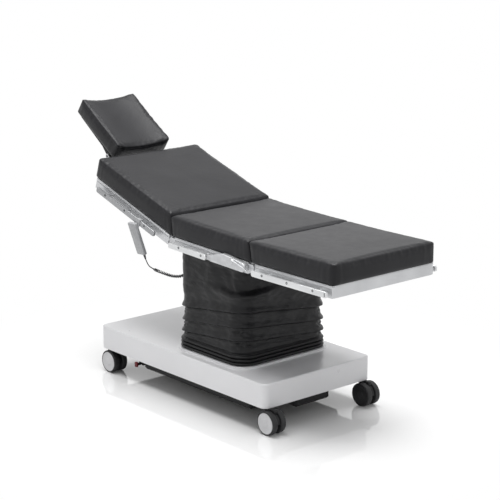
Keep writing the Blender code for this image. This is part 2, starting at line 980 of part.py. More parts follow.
def pad_shape(ends, half_width, thickness, edge, crown, bulge, dish=0, leans=(0, 0)):
    """A pad as a soft cage: crowned or dished top, swollen sides, rounded edges.

    Leans are how far the top of the first and of the last end face stand towards +X.
    """
    bm = cage(pad_cell_counts)
    half = Vector(((ends[1] - ends[0]) / 2, half_width, thickness / 2))
    middle = Vector(((ends[0] + ends[1]) / 2, 0, thickness / 2))

    def spread(share, reach, count):
        """Cage lines: the edge, one edge width in, and any inner ones in even shares."""
        line = round(abs(share) * count)
        stations = {count: reach, count - 2: reach - edge}
        return math.copysign(stations.get(line, (reach - edge) * line / (count - 2)), share)

    for vert in bm.verts:
        share = vert.co.copy()
        spot = Vector([spread(share[i], half[i], pad_cell_counts[i]) for i in range(3)])
        inner = Vector([max(-(half[i] - edge), min(half[i] - edge, spot[i])) for i in range(3)])
        out = spot - inner
        if sum(1 for value in out if abs(value) > 0) > 1:
            spot = inner + out.normalized() * edge * edge_swell_share
        across = 1 - (spot.y / half.y) ** 2
        along = 1 - (spot.x / half.x) ** 2
        level = 1 - (spot.z / half.z) ** 2
        if spot.z > 0:
            spot.z += (crown * along - dish) * across * (spot.z / half.z)
        lean = leans[0] if share.x < 0 else leans[1]
        spot.x += lean * share.x * share.x * spot.z / half.z
        spot.y += math.copysign(bulge, spot.y) * level * along * (abs(spot.y) / half.y)
        vert.co = spot + middle
    shape = from_bmesh(bm)
    soft = shape.modifiers.new("soft", "SUBSURF")
    soft.levels = 1
    soft.render_levels = 1
    return bake(shape)


def side_bars(start, end, lug_side):
    """Both side bars, each with a lug at every hinge end named in lug_side."""
    inner = frame_half_width - frame_bar_width
    bars = []
    for side in (-1, 1):
        y = sorted((side * inner, side * frame_half_width))
        bar = block((start, end), y, (frame_bottom, frame_top_rise), edge=frame_edge, steps=1)
        for axis_x, bar_end, half in lug_side:
            thickness = frame_bar_width / 2 - clearance / 2
            if half == "outer":
                lug_y = sorted((side * frame_half_width, side * (frame_half_width - thickness)))
            else:
                lug_y = sorted((side * inner, side * (inner + thickness)))
            inward = math.copysign(overrun, bar_end - axis_x)
            ends = sorted((axis_x, bar_end + inward))
            strap = block(ends, lug_y, (-lug_radius * strap_share, lug_radius * strap_share))
            round_end = rod((axis_x, lug_y[0], 0), (axis_x, lug_y[1], 0), lug_radius)
            join(strap, round_end)
            if half == "outer":
                pin_inner = (axis_x, side * (inner - overrun), 0)
                pin_outer = (axis_x, side * (frame_half_width - overrun), 0)
                pin = rod(pin_inner, pin_outer, hinge_pin_radius)
                join(strap, pin)
                join(bar, strap)
            else:
                join(bar, strap)
                hole = bore(
                    (axis_x, side * (inner - 2 * overrun), 0),
                    (axis_x, side * (frame_half_width + overrun), 0),
                    hinge_pin_radius,
                )
                cut(bar, hole)
        bars.append(bar)
    return bars


def crossbar(start, height=None, width=None):
    inner = frame_half_width - frame_bar_width / 2
    top = frame_bottom + (height or crossbar_height)
    return block((start, start + (width or crossbar_width)), (-inner, inner), (frame_bottom, top))


def section_plate(ends):
    low = frame_top_rise + clearance
    return block(ends, (-frame_half_width, frame_half_width), (low, low + plate_thickness))


def build_rails(prefix, carrier, start, length, near_side):
    """A clamp rail on each side, held off the frame by round standoffs."""
    inner = frame_half_width + rail_standoff
    middle = start + length / 2
    centre = (middle, -rail_drop)
    outline = rounded_outline(length / 2, rail_height / 2, rail_corner_radius, rail_corner_points, centre)
    count = int((length - rail_first_standoff) // standoff_pitch) + 1
    stations = [start + rail_first_standoff + i * standoff_pitch for i in range(count)]
    for side in (-1, 1):
        y = sorted((side * inner, side * (inner + rail_thickness)))
        rail = slab(outline, y[0], y[1], lay="XZ", edge=overrun / 2, steps=1)
        for x in stations:
            seat = side * (frame_half_width + clearance)
            root_y = side * (inner + rail_thickness / 2)
            join(rail, rod((x, seat, -rail_drop), (x, root_y, -rail_drop), standoff_radius, sides=8))
        name = "near" if side == near_side else "far"
        piece(rail, f"{prefix}_rail_{name}", "rail_steel", carrier)


def build_seat(hinge_line):
    """The seat is drawn along its hinge line, with x counted from the column's pitch axis."""
    back_x = -back_hinge_reach
    leg_x = leg_hinge_reach
    start = back_x + frame_end_gap
    end = leg_x - frame_end_gap
    lugs = [(back_x, start, "outer"), (leg_x, end, "outer")]
    first, second = side_bars(start, end, lugs)
    frame = first
    span = end - start - crossbar_width
    for share in seat_crossbar_shares:
        join(frame, crossbar(start + span * share))
    join(frame, second)
    piece(frame, "seat_frame", "frame_aluminium", hinge_line)
    piece(section_plate((start, end)), "seat_plate", "plate_aluminium", hinge_line)
    pad = pad_shape(
        (back_x + seat_pad_head_gap, leg_x - seat_pad_foot_gap),
        pad_half_width, pad_thickness, pad_edge_radius, pad_crown, pad_side_bulge,
        leans=(-seat_head_lean, -leg_seam_lean),
    )
    place(pad, Matrix.Translation((0, 0, pad_floor)))
    piece(pad, "seat_cushion", "pad_leather", hinge_line)
    rail_start = back_x + seat_rail_start
    housing_start = leg_x - housing_end_gap - housing_length
    build_rails("seat", hinge_line, rail_start, housing_start - rail_housing_gap - rail_start, near)

    cheek_inner = yoke_half_width + clearance
    cheek_outer = cheek_inner + saddle_cheek_thickness
    plate_top = frame_bottom - clearance
    plate_low = plate_top - saddle_plate_thickness
    saddle = block(
        (-saddle_half_length, saddle_half_length),
        (-cheek_outer, cheek_outer),
        (plate_low, plate_top),
        edge=overrun / 2,
    )
    for side in (-1, 1):
        y = sorted((side * cheek_inner, side * cheek_outer))
        cheek = rod((0, y[0], -hinge_rise), (0, y[1], -hinge_rise), saddle_cheek_radius)
        half_web = saddle_cheek_radius * strap_share
        web = block((-half_web, half_web), y, (-hinge_rise, plate_top - overrun))
        join(saddle, join(cheek, web))
    bore_reach = cheek_outer + overrun
    cut(saddle, bore((0, -bore_reach, -hinge_rise), (0, bore_reach, -hinge_rise), tilt_pin_radius))
    piece(saddle, "tilt_saddle", "cylinder_steel", hinge_line)
    build_housings(hinge_line)


def build_housings(hinge_line):
    """A cast housing with its release lever on each side of the seat's foot end."""
    right = leg_hinge_reach - housing_end_gap
    left = right - housing_length
    low = -housing_drop
    high = low + housing_height
    slope = housing_height * housing_slope_share
    outline = [
        (left, low + slope / 2),
        (left + slope, low),
        (right - slope / 2, low),
        (right, low + slope / 2),
        (right, high - slope),
        (right - slope / 2, high - slope / 2),
        (right - housing_length / 2, high),
        (right - housing_length * housing_crest_share, high),
        (left + slope, high - slope),
        (left, high - slope),
    ]
    for side in (-1, 1):
        inner = frame_half_width + clearance
        outer = inner + housing_thickness
        y = sorted((side * inner, side * outer))
        housing = slab(outline, y[0], y[1], lay="XZ", edge=housing_edge, steps=2)
        hub_x = leg_hinge_reach - lever_station
        hub_z = lever_rise - lever_hub_radius / 2
        socket_deep = side * (outer - lever_pin_depth - overrun)
        socket_mouth = side * (outer + overrun)
        cut(housing, bore((hub_x, socket_deep, hub_z), (hub_x, socket_mouth, hub_z), lever_pin_radius))
        name = side_names[side]
        piece(housing, f"joint_housing_{name}", "lever_metal", hinge_line)

        axle = pivot(f"release_axle_{name}", hinge_line, (hub_x, side * (outer + clearance), hub_z))
        face = side * lever_hub_height
        lever = rod((0, 0, 0), (0, face, 0), lever_hub_radius, tip_radius=lever_hub_radius - overrun)
        pin = rod((0, -side * (lever_pin_depth), 0), (0, side * overrun, 0), lever_pin_radius)
        along = (math.cos(lever_angle), -math.sin(lever_angle))
        across = (-along[1], along[0])
        arm_outline = [
            (0, -lever_root_width / 2),
            (lever_length * lever_taper_share, -lever_tip_width / 2),
            (lever_length, 0),
            (lever_length * lever_taper_share, lever_tip_width / 2),
            (0, lever_root_width / 2),
        ]
        arm_outline = [(a * along[0] + b * across[0], a * along[1] + b * across[1]) for a, b in arm_outline]
        arm_y = sorted((side * overrun / 4, side * (overrun / 4 + lever_thickness)))
        arm = slab(arm_outline, arm_y[0], arm_y[1], lay="XZ", edge=overrun / 2, steps=1)
        join(lever, pin, arm)
        piece(lever, f"release_lever_{name}", "lever_metal", axle)


def build_leg(axis):
    start = frame_end_gap
    end = leg_frame_length
    first, second = side_bars(start, end, [(0, start, "inner")])
    join(first, crossbar(first_crossbar_station))
    join(first, crossbar(end * middle_crossbar_share))
    join(first, crossbar(end - crossbar_width, height=frame_height))
    join(first, second)
    piece(first, "leg_frame", "frame_aluminium", axis)
    piece(section_plate((start, end)), "leg_plate", "plate_aluminium", axis)
    pad = pad_shape(
        (leg_pad_gap, end + leg_pad_overhang),
        pad_half_width, pad_thickness, pad_edge_radius, pad_crown, pad_side_bulge,
        leans=(-leg_seam_lean, 0),
    )
    place(pad, Matrix.Translation((0, 0, pad_floor)))
    piece(pad, "leg_cushion", "pad_leather", axis)
    build_rails("leg", axis, leg_rail_start, leg_rail_length, near)


def build_back(axis):
    """The back's frame points away from its hinge, so its own y runs opposite to the table's."""
    start = frame_end_gap
    end = back_frame_length
    first, second = side_bars(start, end, [(0, start, "inner")])
    join(first, crossbar(first_crossbar_station))
    join(first, crossbar(end * middle_crossbar_share))
    join(first, crossbar(end - head_crossbar_width, height=frame_height, width=head_crossbar_width))
    join(first, second)
    for side in (-1, 1):
        y = side * prong_half_spacing
        back_end = end - head_crossbar_width - overrun
        cut(first, bore((back_end, y, -prong_drop), (end + overrun, y, -prong_drop), prong_radius))
        knob_x = end - knob_inset
        hole_top = -prong_drop - prong_radius
        cut(first, bore((knob_x, y, frame_bottom - overrun), (knob_x, y, hole_top), knob_pin_radius))
        name = side_names[-side]
        screw = pivot(f"prong_knob_{name}_axis", axis, (knob_x, y, frame_bottom - clearance))
        knob = rod((0, 0, -knob_height), (0, 0, 0), knob_radius, sides=10)
        join(knob, rod((0, 0, -overrun), (0, 0, knob_pin_depth), knob_pin_radius))
        piece(knob, f"prong_knob_{name}", "knob_plastic", screw)
    piece(first, "back_frame", "frame_aluminium", axis)
    piece(section_plate((back_plate_start, end)), "back_plate", "plate_aluminium", axis)
    pad = pad_shape(
        (back_pad_gap, end + back_pad_overhang),
        pad_half_width, pad_thickness, pad_edge_radius, pad_crown, pad_side_bulge,
        leans=(pad_thickness / 2 * math.tan(back_angle - seat_tilt) + seat_head_lean, 0),
    )
    place(pad, Matrix.Translation((0, 0, pad_floor)))
    piece(pad, "back_cushion", "pad_leather", axis)
    build_rails("back", axis, back_rail_start, back_rail_length, far)


# Head section

def clamp_lever(name, carrier, axis_point, side):
    """A small locking lever on a pin, whose arm hangs down from the hub."""
    axle = pivot(f"{name}_axle", carrier, axis_point)
    hub = rod((0, 0, 0), (0, side * clamp_hub_length, 0), clamp_hub_radius)
    middle = side * clamp_hub_length / 2
    arm = rod((0, middle, 0), (0, middle, -clamp_arm_length), clamp_arm_radius)
    pin = rod((0, -side * clamp_pin_depth, 0), (0, side * overrun, 0), clamp_pin_radius)
    piece(join(hub, arm, pin), name, "knob_plastic", axle)


def build_head(back_axis):
    """Two prongs slide in the back frame and carry a link and the head plate on two hinges."""
    end = back_frame_length
    prongs = pivot("prong_slide", back_axis, (end, 0, -prong_drop))
    bridge_start = prong_outside
    bridge = block(
        (bridge_start, bridge_start + head_bridge_width),
        (-neck_lug_half_spacing, neck_lug_half_spacing),
        (-head_bridge_height / 2, head_bridge_height / 2),
        edge=overrun,
    )
    for side in (-1, 1):
        y = side * prong_half_spacing
        join(bridge, rod((-prong_inside, y, 0), (bridge_start + overrun, y, 0), prong_radius))
        lug_y = sorted((side * neck_lug_half_spacing, side * (neck_lug_half_spacing - neck_lug_thickness)))
        lug = rod((neck_axis_reach, lug_y[0], 0), (neck_axis_reach, lug_y[1], 0), neck_lug_radius)
        half_height = neck_lug_radius * strap_share
        strap = block((bridge_start + overrun, neck_axis_reach), lug_y, (-half_height, half_height))
        join(bridge, join(lug, strap))
    reach = neck_lug_half_spacing + overrun
    cut(bridge, bore((neck_axis_reach, -reach, 0), (neck_axis_reach, reach, 0), neck_pin_radius))
    piece(bridge, "head_prongs", "lever_metal", prongs)

    neck = pivot("neck_axis", prongs, (neck_axis_reach, 0, 0), about_y(0))
    link_end = Vector((link_length * math.cos(link_angle), 0, link_length * math.sin(link_angle)))
    arm_inner = neck_lug_half_spacing + clearance
    arm_outer = arm_inner + neck_lug_thickness
    link = None
    for side in (-1, 1):
        y = sorted((side * arm_inner, side * arm_outer))
        low_eye = rod((0, y[0], 0), (0, y[1], 0), neck_lug_radius)
        high_eye = rod((link_end.x, y[0], link_end.z), (link_end.x, y[1], link_end.z), neck_lug_radius)
        web = block((0, link_length), y, (-link_width / 2, link_width / 2))
        place(web, about_y(-link_angle))
        arm = join(low_eye, high_eye, web)
        link = join(link, arm) if link else arm
    tie_x, tie_z = link_end.x / 2, link_end.z / 2
    pin_reach = arm_inner + overrun
    join(link, rod((tie_x, -pin_reach, tie_z), (tie_x, pin_reach, tie_z), link_tie_radius))
    join(link, rod((0, -pin_reach, 0), (0, pin_reach, 0), neck_pin_radius))
    for side in (-1, 1):
        y = side * (arm_outer + overrun)
        inner_end = side * (arm_inner - overrun)
        cut(link, bore((link_end.x, y, link_end.z), (link_end.x, inner_end, link_end.z), neck_pin_radius))
    clamp_y = -arm_outer
    cut(link, bore((0, clamp_y - overrun, 0), (0, clamp_y + clamp_pin_depth, 0), clamp_pin_radius))
    piece(link, "head_link", "lever_metal", neck)

    head_axis = pivot("head_axis", neck, link_end, about_y(back_angle - head_angle))
    plate_low = head_axis_drop - head_plate_thickness_under_pad
    plate_high = head_axis_drop
    plate_end = -head_axis_inset + head_pad_length - head_plate_margin
    plate = block(
        (-head_axis_inset + head_plate_margin, plate_end),
        (-neck_lug_half_spacing, neck_lug_half_spacing),
        (plate_low, plate_high),
    )
    for side in (-1, 1):
        y = sorted((side * neck_lug_half_spacing, side * (neck_lug_half_spacing - neck_lug_thickness)))
        skirt = slab([(a, plate_high - drop) for a, drop in head_skirt_lines], y[0], y[1], lay="XZ")
        join(plate, skirt)
        pin_start = side * (neck_lug_half_spacing - neck_lug_thickness / 2)
        join(plate, rod((0, pin_start, 0), (0, side * arm_outer, 0), neck_pin_radius))
    piece(plate, "head_plate", "chassis_steel", head_axis)

    pad = pad_shape(
        (-head_axis_inset, head_pad_length - head_axis_inset),
        head_pad_half_width, head_pad_thickness, head_pad_edge_radius, 0, overrun, dish=head_pad_dish,
    )
    place(pad, Matrix.Translation((0, 0, plate_high + clearance)))
    piece(pad, "head_cushion", "pad_leather", head_axis)

    clamp_lever("head_clamp", neck, (0, clamp_y - clearance, 0), -1)


# Handset and its cord

def build_handset(back_axis):
    """The hook sits square on the back's near rail. The body hangs leaning inwards, its keys to the pads."""
    rail_inner = frame_half_width + rail_standoff
    rail_outer = rail_inner + rail_thickness
    hook_middle = handset_station - hook_offset
    across = (hook_middle - hook_width / 2, hook_middle + hook_width / 2)
    rail_top = -rail_drop + rail_height / 2
    rail_low = -rail_drop - rail_height / 2
    top_low = rail_top + clearance
    front = block(
        across,
        (rail_outer + clearance, rail_outer + clearance + hook_thickness),
        (rail_low - hook_overlap, top_low + hook_thickness),
    )
    over = block(
        across,
        (rail_inner - clearance - hook_thickness, rail_outer + clearance + hook_thickness),
        (top_low, top_low + hook_thickness),
    )
    behind = block(
        across,
        (rail_inner - clearance - hook_thickness, rail_inner - clearance),
        (rail_top - hook_return, top_low + hook_thickness),
    )
    hook = join(front, over, behind)

    hang = pivot(
        "handset_hang",
        back_axis,
        (handset_station, rail_outer + clearance + handset_stand_off + handset_thickness / 2, rail_low),
        about_y(back_angle + handset_swing) @ Matrix.Rotation(-handset_lean, 4, "X"),
    )
    bpy.context.view_layer.update()
    to_hang = hang.matrix_local.inverted()
    half = handset_width / 2
    body = block(
        (-half, half),
        (-handset_thickness / 2, handset_thickness / 2),
        (-handset_length, 0),
        edge=handset_edge,
        steps=2,
    )
    place(hook, to_hang)
    join(body, hook)
    face = -handset_thickness / 2
    keypad_top = -handset_length / 2 + keypad_length / 2 + keypad_margin
    keypad_low = keypad_top - keypad_length
    relief_seat = Vector((-half / 2, 0, -handset_length))
    key_centre = (keypad_top + keypad_low) / 2
    rows = [key_centre + (row - (key_rows - 1) / 2) * key_row_pitch for row in range(key_rows)]
    columns = (-key_column_pitch / 2, key_column_pitch / 2)
    spots = [(x, z) for z in rows for x in columns]
    for x, z in spots:
        well = block(
            (x - key_width / 2 - clearance, x + key_width / 2 + clearance),
            (face - overrun, face + key_depth + key_travel + clearance),
            (z - key_height / 2 - clearance, z + key_height / 2 + clearance),
        )
        cut(body, well)
    piece(body, "handset_body", "handset_plastic", hang)
    film = block(
        (keypad_margin - half, half - keypad_margin),
        (face - clearance - keypad_thickness, face - clearance),
        (keypad_low, keypad_top),
    )
    for x, z in spots:
        well = block(
            (x - key_width / 2 - clearance, x + key_width / 2 + clearance),
            (face - keypad_thickness - overrun, face + overrun),
            (z - key_height / 2 - clearance, z + key_height / 2 + clearance),
        )
        cut(film, well)
    piece(film, "handset_keypad", "keypad_film", hang)
    for number, (x, z) in enumerate(spots, start=1):
        spot = pivot(f"key_{number}_rest", hang, (x, face, z))
        key = block(
            (-key_width / 2, key_width / 2),
            (-keypad_thickness - clearance - key_proud, key_depth),
            (-key_height / 2, key_height / 2),
            edge=clearance,
        )
        piece(key, f"handset_key_{number}", "key_rubber", spot)
    relief = rod(
        relief_seat - Vector((0, 0, clearance)),
        relief_seat - Vector((0, 0, clearance + relief_length)),
        relief_root_radius,
        tip_radius=relief_tip_radius,
        sides=12,
    )
    piece(relief, "handset_strain_relief", "knob_plastic", hang)
    bpy.context.view_layer.update()
    tip = hang.matrix_world @ (relief_seat - Vector((0, 0, relief_length + 2 * clearance)))
    down = (hang.matrix_world.to_3x3() @ Vector((0, 0, -1))).normalized()
    return tip, down


def build_socket(hinge_line, collar_half_length):
    """The cord's socket hangs from the collar's ear, just outside the bellows."""
    top = frame_bottom - 2 * clearance - collar_thickness
    inner = -collar_half_length - socket_bellows_gap
    y = (-socket_reach - socket_half_width, -socket_reach + socket_half_width)
    arm = block((inner - socket_arm_thickness, inner), y, (top - socket_top_drop - socket_height / 2, top))
    body = block(
        (inner - socket_length, inner),
        y,
        (top - socket_top_drop - socket_height, top - socket_top_drop),
        edge=socket_edge,
    )
    piece(join(body, arm), "cord_socket", "knob_plastic", hinge_line)
    bpy.context.view_layer.update()
    middle = inner - socket_length / 2
    mouth = Vector((middle, -socket_reach, top - socket_top_drop - socket_height - clearance))
    down = (hinge_line.matrix_world.to_3x3() @ Vector((0, 0, -1))).normalized()
    return hinge_line.matrix_world @ mouth, down


def smooth_route(points, spacing):
    """Points at an even spacing along a smooth curve through the given points."""
    dense = []
    ends = [points[0] * 2 - points[1]] + list(points) + [points[-1] * 2 - points[-2]]
    for a, b, c, d in zip(ends, ends[1:], ends[2:], ends[3:]):
        for step in range(40):
            t = step / 40
            bend = (c - a) * t + (2 * a - 5 * b + 4 * c - d) * t * t + (3 * b - a - 3 * c + d) * t ** 3
            dense.append(b + bend / 2)
    dense.append(points[-1].copy())
    route = [dense[0]]
    walked = 0
    for a, b in zip(dense, dense[1:]):
        gap = (b - a).length
        while gap > 0 and walked + gap >= spacing:
            a = a + (b - a) * ((spacing - walked) / gap)
            route.append(a.copy())
            gap = (b - a).length
            walked = 0
        walked += gap
    return route


def build_cord(tip, tip_down, mouth, mouth_down, carrier):
    """One unbroken tube: a straight lead, the curls, and a straight end in the socket."""
    straight = 2 * cord_radius
    lead_end = tip + tip_down * straight
    socket_end = mouth + mouth_down * straight * 2
    guide = [lead_end]
    guide += [Vector(spot) for spot in cord_route]
    guide.append(socket_end)
    fine = smooth_route(guide, cord_radius / 2)
    lead_length = lead_points * 4 * cord_radius
    lead_steps = int(lead_length / (cord_radius / 2))
    end_steps = int(cord_end_points * 3 * cord_radius / (cord_radius / 2))
    curl_part = fine[lead_steps:len(fine) - end_steps]
    total = curl_count * points_per_curl
    points = [tip]
    points += [fine[round(i * lead_steps / lead_points)] for i in range(lead_points)]
    side = Vector((0, 0, 1))
    for i in range(total + 1):
        share = i / total
        place_along = share * (len(curl_part) - 1)
        low = min(int(place_along), len(curl_part) - 2)
        middle = curl_part[low].lerp(curl_part[low + 1], place_along - low)
        ahead = (curl_part[low + 1] - curl_part[low]).normalized()
        side = (side - ahead * side.dot(ahead)).normalized()
        other = ahead.cross(side)
        turn = 2 * math.pi * share * curl_count
        grow = min(1, share * curl_count, (1 - share) * curl_count)
        radius = curl_radius * grow
        points.append(middle + (side * math.cos(turn) + other * math.sin(turn)) * radius)
    for i in range(1, cord_end_points + 1):
        points.append(fine[len(fine) - end_steps + round(i * (end_steps - 1) / cord_end_points)])
    points.append(mouth)
    least = least_own_gap(points)
    print(f"least gap of the cord to itself: {(least - 2 * cord_radius) / MM:.2f} mm")
    length = sum((b - a).length for a, b in zip(points, points[1:]))
    print(f"cord length: {length:.3f} m")

    curve = bpy.data.curves.new("handset_cord", "CURVE")
    curve.dimensions = "3D"
    curve.bevel_depth = cord_radius
    curve.bevel_resolution = 1
    curve.use_fill_caps = True
    spline = curve.splines.new("POLY")
    spline.points.add(len(points) - 1)
    for knot, spot in zip(spline.points, points):
        knot.co = (*spot, 1)
    cord = bpy.data.objects.new("cord", curve)
    shaping.objects.link(cord)
    cord = bake(cord)
    place(cord, carrier.matrix_world.inverted())
    piece(cord, "handset_cord", "cord_jacket", carrier)


def least_own_gap(points):
    """The least distance between two stretches of the cord that aren't neighbours."""
    fine = []
    for a, b in zip(points, points[1:]):
        fine += [a.lerp(b, step / 3) for step in range(3)]
    skip = int(points_per_curl * 3 * curl_skip_share)
    least = 1.0
    for i, a in enumerate(fine):
        for b in fine[i + skip:i + 3 * skip]:
            least = min(least, (a - b).length)
    return least


cord_route = [
    (-233 * MM, -266 * MM, 540 * MM),
    (-219 * MM, -260 * MM, 529 * MM),
    (-173 * MM, -248 * MM, 518 * MM),
    (-129 * MM, -213 * MM, 502 * MM),
    (-102 * MM, -178 * MM, 506 * MM),
    (-100 * MM, -145 * MM, 538 * MM),
]


# Derived levels
chassis_top = cover_low + chassis_thickness
frame_bottom = frame_top_rise - frame_height
bellows_foot = cover_high + plinth_height + clearance
collar_rise = hinge_rise + frame_bottom - 2 * clearance - collar_thickness
drape_top = pitch_axis_height + collar_rise / math.cos(seat_tilt)
pad_floor = frame_top_rise + clearance + plate_thickness + clearance

clear_scene()
table = new_collection("operating_table")
shaping = new_collection("shaping")
root = pivot("table_root", None, (0, 0, 0))

build_base()
build_casters()
build_pedal()
build_column()
build_bellows()

roll_carrier = bpy.data.objects["roll_axis"]
pitch = pivot("pitch_axis", roll_carrier, (0, 0, pitch_axis_height - roll_axis_height), about_y(seat_tilt))
seat_line = pivot("seat_line", pitch, (0, 0, hinge_rise))
build_seat(seat_line)
leg_axis = pivot("leg_axis", seat_line, (leg_hinge_reach, 0, 0), about_y(leg_angle - seat_tilt))
build_leg(leg_axis)
facing_head = Matrix.Rotation(math.pi, 4, "Z")
back_axis = pivot(
    "back_axis", seat_line, (-back_hinge_reach, 0, 0), about_y(back_angle - seat_tilt) @ facing_head
)
build_back(back_axis)
build_head(back_axis)
cord_tip, tip_down = build_handset(back_axis)
collar_half_length = build_collar(seat_line)
cord_mouth, mouth_down = build_socket(seat_line, collar_half_length)
build_cord(cord_tip, tip_down, cord_mouth, mouth_down, seat_line)
bpy.data.collections.remove(shaping)


def overall_box():
    low = Vector((math.inf,) * 3)
    high = Vector((-math.inf,) * 3)
    bpy.context.view_layer.update()
    for item in table.objects:
        if item.type != "MESH" or item.name == "handset_cord":
            continue
        for vert in item.data.vertices:
            spot = item.matrix_world @ vert.co
            low = Vector(map(min, low, spot))
            high = Vector(map(max, high, spot))
    return low, high


# Stand the table with the middle of its box over the origin
low, high = overall_box()
root.location = (-(low.x + high.x) / 2, -(low.y + high.y) / 2, -low.z)
bpy.context.view_layer.update()
size = high - low
print(f"overall size: {size.x:.4f} x {size.y:.4f} x {size.z:.4f} m")
print(f"shift: {root.location.x:.5f} {root.location.y:.5f} {root.location.z:.5f}")
for item in table.objects:
    if item.type == "EMPTY":
        spot = item.matrix_world.translation
        print(f"pivot {item.name}: {spot.x:.5f} {spot.y:.5f} {spot.z:.5f}")
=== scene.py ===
# %% [markdown]
# # An operating table
# The table comes as a frame of plain solids. This script dresses them: it gives every solid a finish, and it
# builds finer pieces where a plain solid isn't enough, such as the pads, the bellows, the wheels and the
# cord. Lengths are in metres where nothing else is said. +X is the foot end, -Y the near side and +Z up.

# %% Load the frame
import json
import math
import bmesh
import bpy
import numpy as np
from mathutils import Matrix, Vector, noise


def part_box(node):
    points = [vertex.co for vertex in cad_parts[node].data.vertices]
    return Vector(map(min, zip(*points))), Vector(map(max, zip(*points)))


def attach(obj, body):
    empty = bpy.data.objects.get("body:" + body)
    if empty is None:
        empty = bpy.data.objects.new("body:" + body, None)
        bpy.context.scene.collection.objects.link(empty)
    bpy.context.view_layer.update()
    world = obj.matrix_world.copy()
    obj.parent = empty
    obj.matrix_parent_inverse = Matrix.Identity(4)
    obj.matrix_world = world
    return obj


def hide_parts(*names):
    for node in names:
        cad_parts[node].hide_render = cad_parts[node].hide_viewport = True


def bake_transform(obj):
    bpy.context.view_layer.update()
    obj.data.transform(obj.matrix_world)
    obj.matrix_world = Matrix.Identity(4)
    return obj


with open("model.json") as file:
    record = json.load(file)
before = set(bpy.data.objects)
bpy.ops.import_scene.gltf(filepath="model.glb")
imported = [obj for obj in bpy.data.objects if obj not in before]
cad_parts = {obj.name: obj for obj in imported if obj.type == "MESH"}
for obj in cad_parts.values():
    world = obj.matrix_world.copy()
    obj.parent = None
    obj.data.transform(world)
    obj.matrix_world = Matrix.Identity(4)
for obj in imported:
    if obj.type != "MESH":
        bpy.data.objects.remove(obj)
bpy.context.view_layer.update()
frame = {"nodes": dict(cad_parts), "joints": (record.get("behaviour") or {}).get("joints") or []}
MM = 0.001
nodes = frame["nodes"]
joint_at = {joint["name"]: Vector(joint["pos_m"]) for joint in frame["joints"] if "pos_m" in joint}

# %% [markdown]
# ## Camera
# The photo was taken from the foot end and the near side, a little above the pads. The angles and the lens
# come from fitting about thirty points of the photo to the solids.

# %% Camera
camera_turn = math.radians(49.10)
camera_dip = math.radians(13.96)
camera_place = (4.9757, -4.2011, 2.226)
focal_pixels = 1578.85
photo_pixels = 500
sensor = 36

camera_data = bpy.data.cameras.new("camera")
camera_data.sensor_width = sensor
camera_data.lens = focal_pixels / photo_pixels * sensor
camera = bpy.data.objects.new("camera", camera_data)
bpy.context.scene.collection.objects.link(camera)
camera.location = camera_place
camera.rotation_euler = (math.pi / 2 - camera_dip, 0, camera_turn)
bpy.context.scene.camera = camera

# %% [markdown]
# ## Sections of the top
# Each section of the top is drawn along its own slope. A section is a start point, a direction away from its
# hinge and a direction out of its pad, so that a point is given as along, across and above.

# %% Section frames
seat_slope = math.radians(2.0)
back_slope = math.radians(17.8)
head_slope = math.radians(33.2)
hinge_rise = 76 * MM


class Section:
    """A frame that slopes in the X-Z plane. Facing is 1 towards the foot end and -1 towards the head."""

    def __init__(self, start, slope, facing):
        self.start = Vector(start)
        self.slope = slope
        self.facing = facing
        self.ahead = Vector((math.cos(slope), 0, -math.sin(slope))) * facing
        self.above = Vector((math.sin(slope), 0, math.cos(slope)))

    def at(self, along, across, above):
        return self.start + self.ahead * along + Vector((0, across, 0)) + self.above * above

    def matrix(self):
        """Takes a point (along, across, above) of the section to the table's frame."""
        turned = Matrix((self.ahead, Vector((0, 1, 0)), self.above)).transposed().to_4x4()
        return Matrix.Translation(self.start) @ turned


seat_start = joint_at["trendelenburg"] + Vector((math.sin(seat_slope), 0, math.cos(seat_slope))) * hinge_rise
seat = Section(seat_start, seat_slope, 1)
leg = Section(joint_at["leg_hinge"], 0, 1)
back = Section(joint_at["back_hinge"], back_slope, -1)
head = Section(joint_at["head_hinge"], head_slope, -1)
middle_y = joint_at["trendelenburg"].y

# %% [markdown]
# ## Node trees
# One small function adds a node, sets its options and links its inputs, for materials and Geometry Nodes
# alike. Colours are written as the hex values of a screen and are turned to linear light here.

# %% Node and colour helpers
def add(tree, kind, inputs=None, **options):
    """Add a node. Each input is a value, or a socket to link from."""
    node = tree.nodes.new(kind)
    for name, value in options.items():
        setattr(node, name, value)
    for name, value in (inputs or {}).items():
        if isinstance(value, bpy.types.NodeSocket):
            tree.links.new(value, node.inputs[name])
        else:
            node.inputs[name].default_value = value
    return node


def colour(code):
    """A hex colour as linear red, green, blue and alpha."""
    channels = [int(code[i:i + 2], 16) / 255 for i in (1, 3, 5)]
    return [c / 12.92 if c <= 0.04045 else ((c + 0.055) / 1.055) ** 2.4 for c in channels] + [1]


def start_material(name, roughness, metallic=0.0):
    """A material with its shader's two plain values set. Returns the material, its tree and its shader."""
    material = bpy.data.materials.new(name)
    material.use_nodes = True
    shader = material.node_tree.nodes["Principled BSDF"]
    shader.inputs["Roughness"].default_value = roughness
    shader.inputs["Metallic"].default_value = metallic
    return material, material.node_tree, shader


def place_of(tree, stretch=(1, 1, 1), slope=0.0):
    """The point on the object in metres, turned by the slope and stretched."""
    coords = add(tree, "ShaderNodeTexCoord")
    turned = add(tree, "ShaderNodeMapping", {"Vector": coords.outputs["Object"], "Rotation": (0, slope, 0)})
    scaled = add(tree, "ShaderNodeMapping", {"Vector": turned.outputs["Vector"], "Scale": stretch})
    return scaled.outputs["Vector"]


def per_metre(size):
    """A texture's scale for a feature of this size."""
    return 1 / size


def noise_of(tree, place, size, detail=2.0, distortion=0.0):
    """A noise texture with features of one size."""
    inputs = {"Vector": place, "Scale": per_metre(size), "Detail": detail, "Distortion": distortion}
    return add(tree, "ShaderNodeTexNoise", inputs).outputs["Fac"]


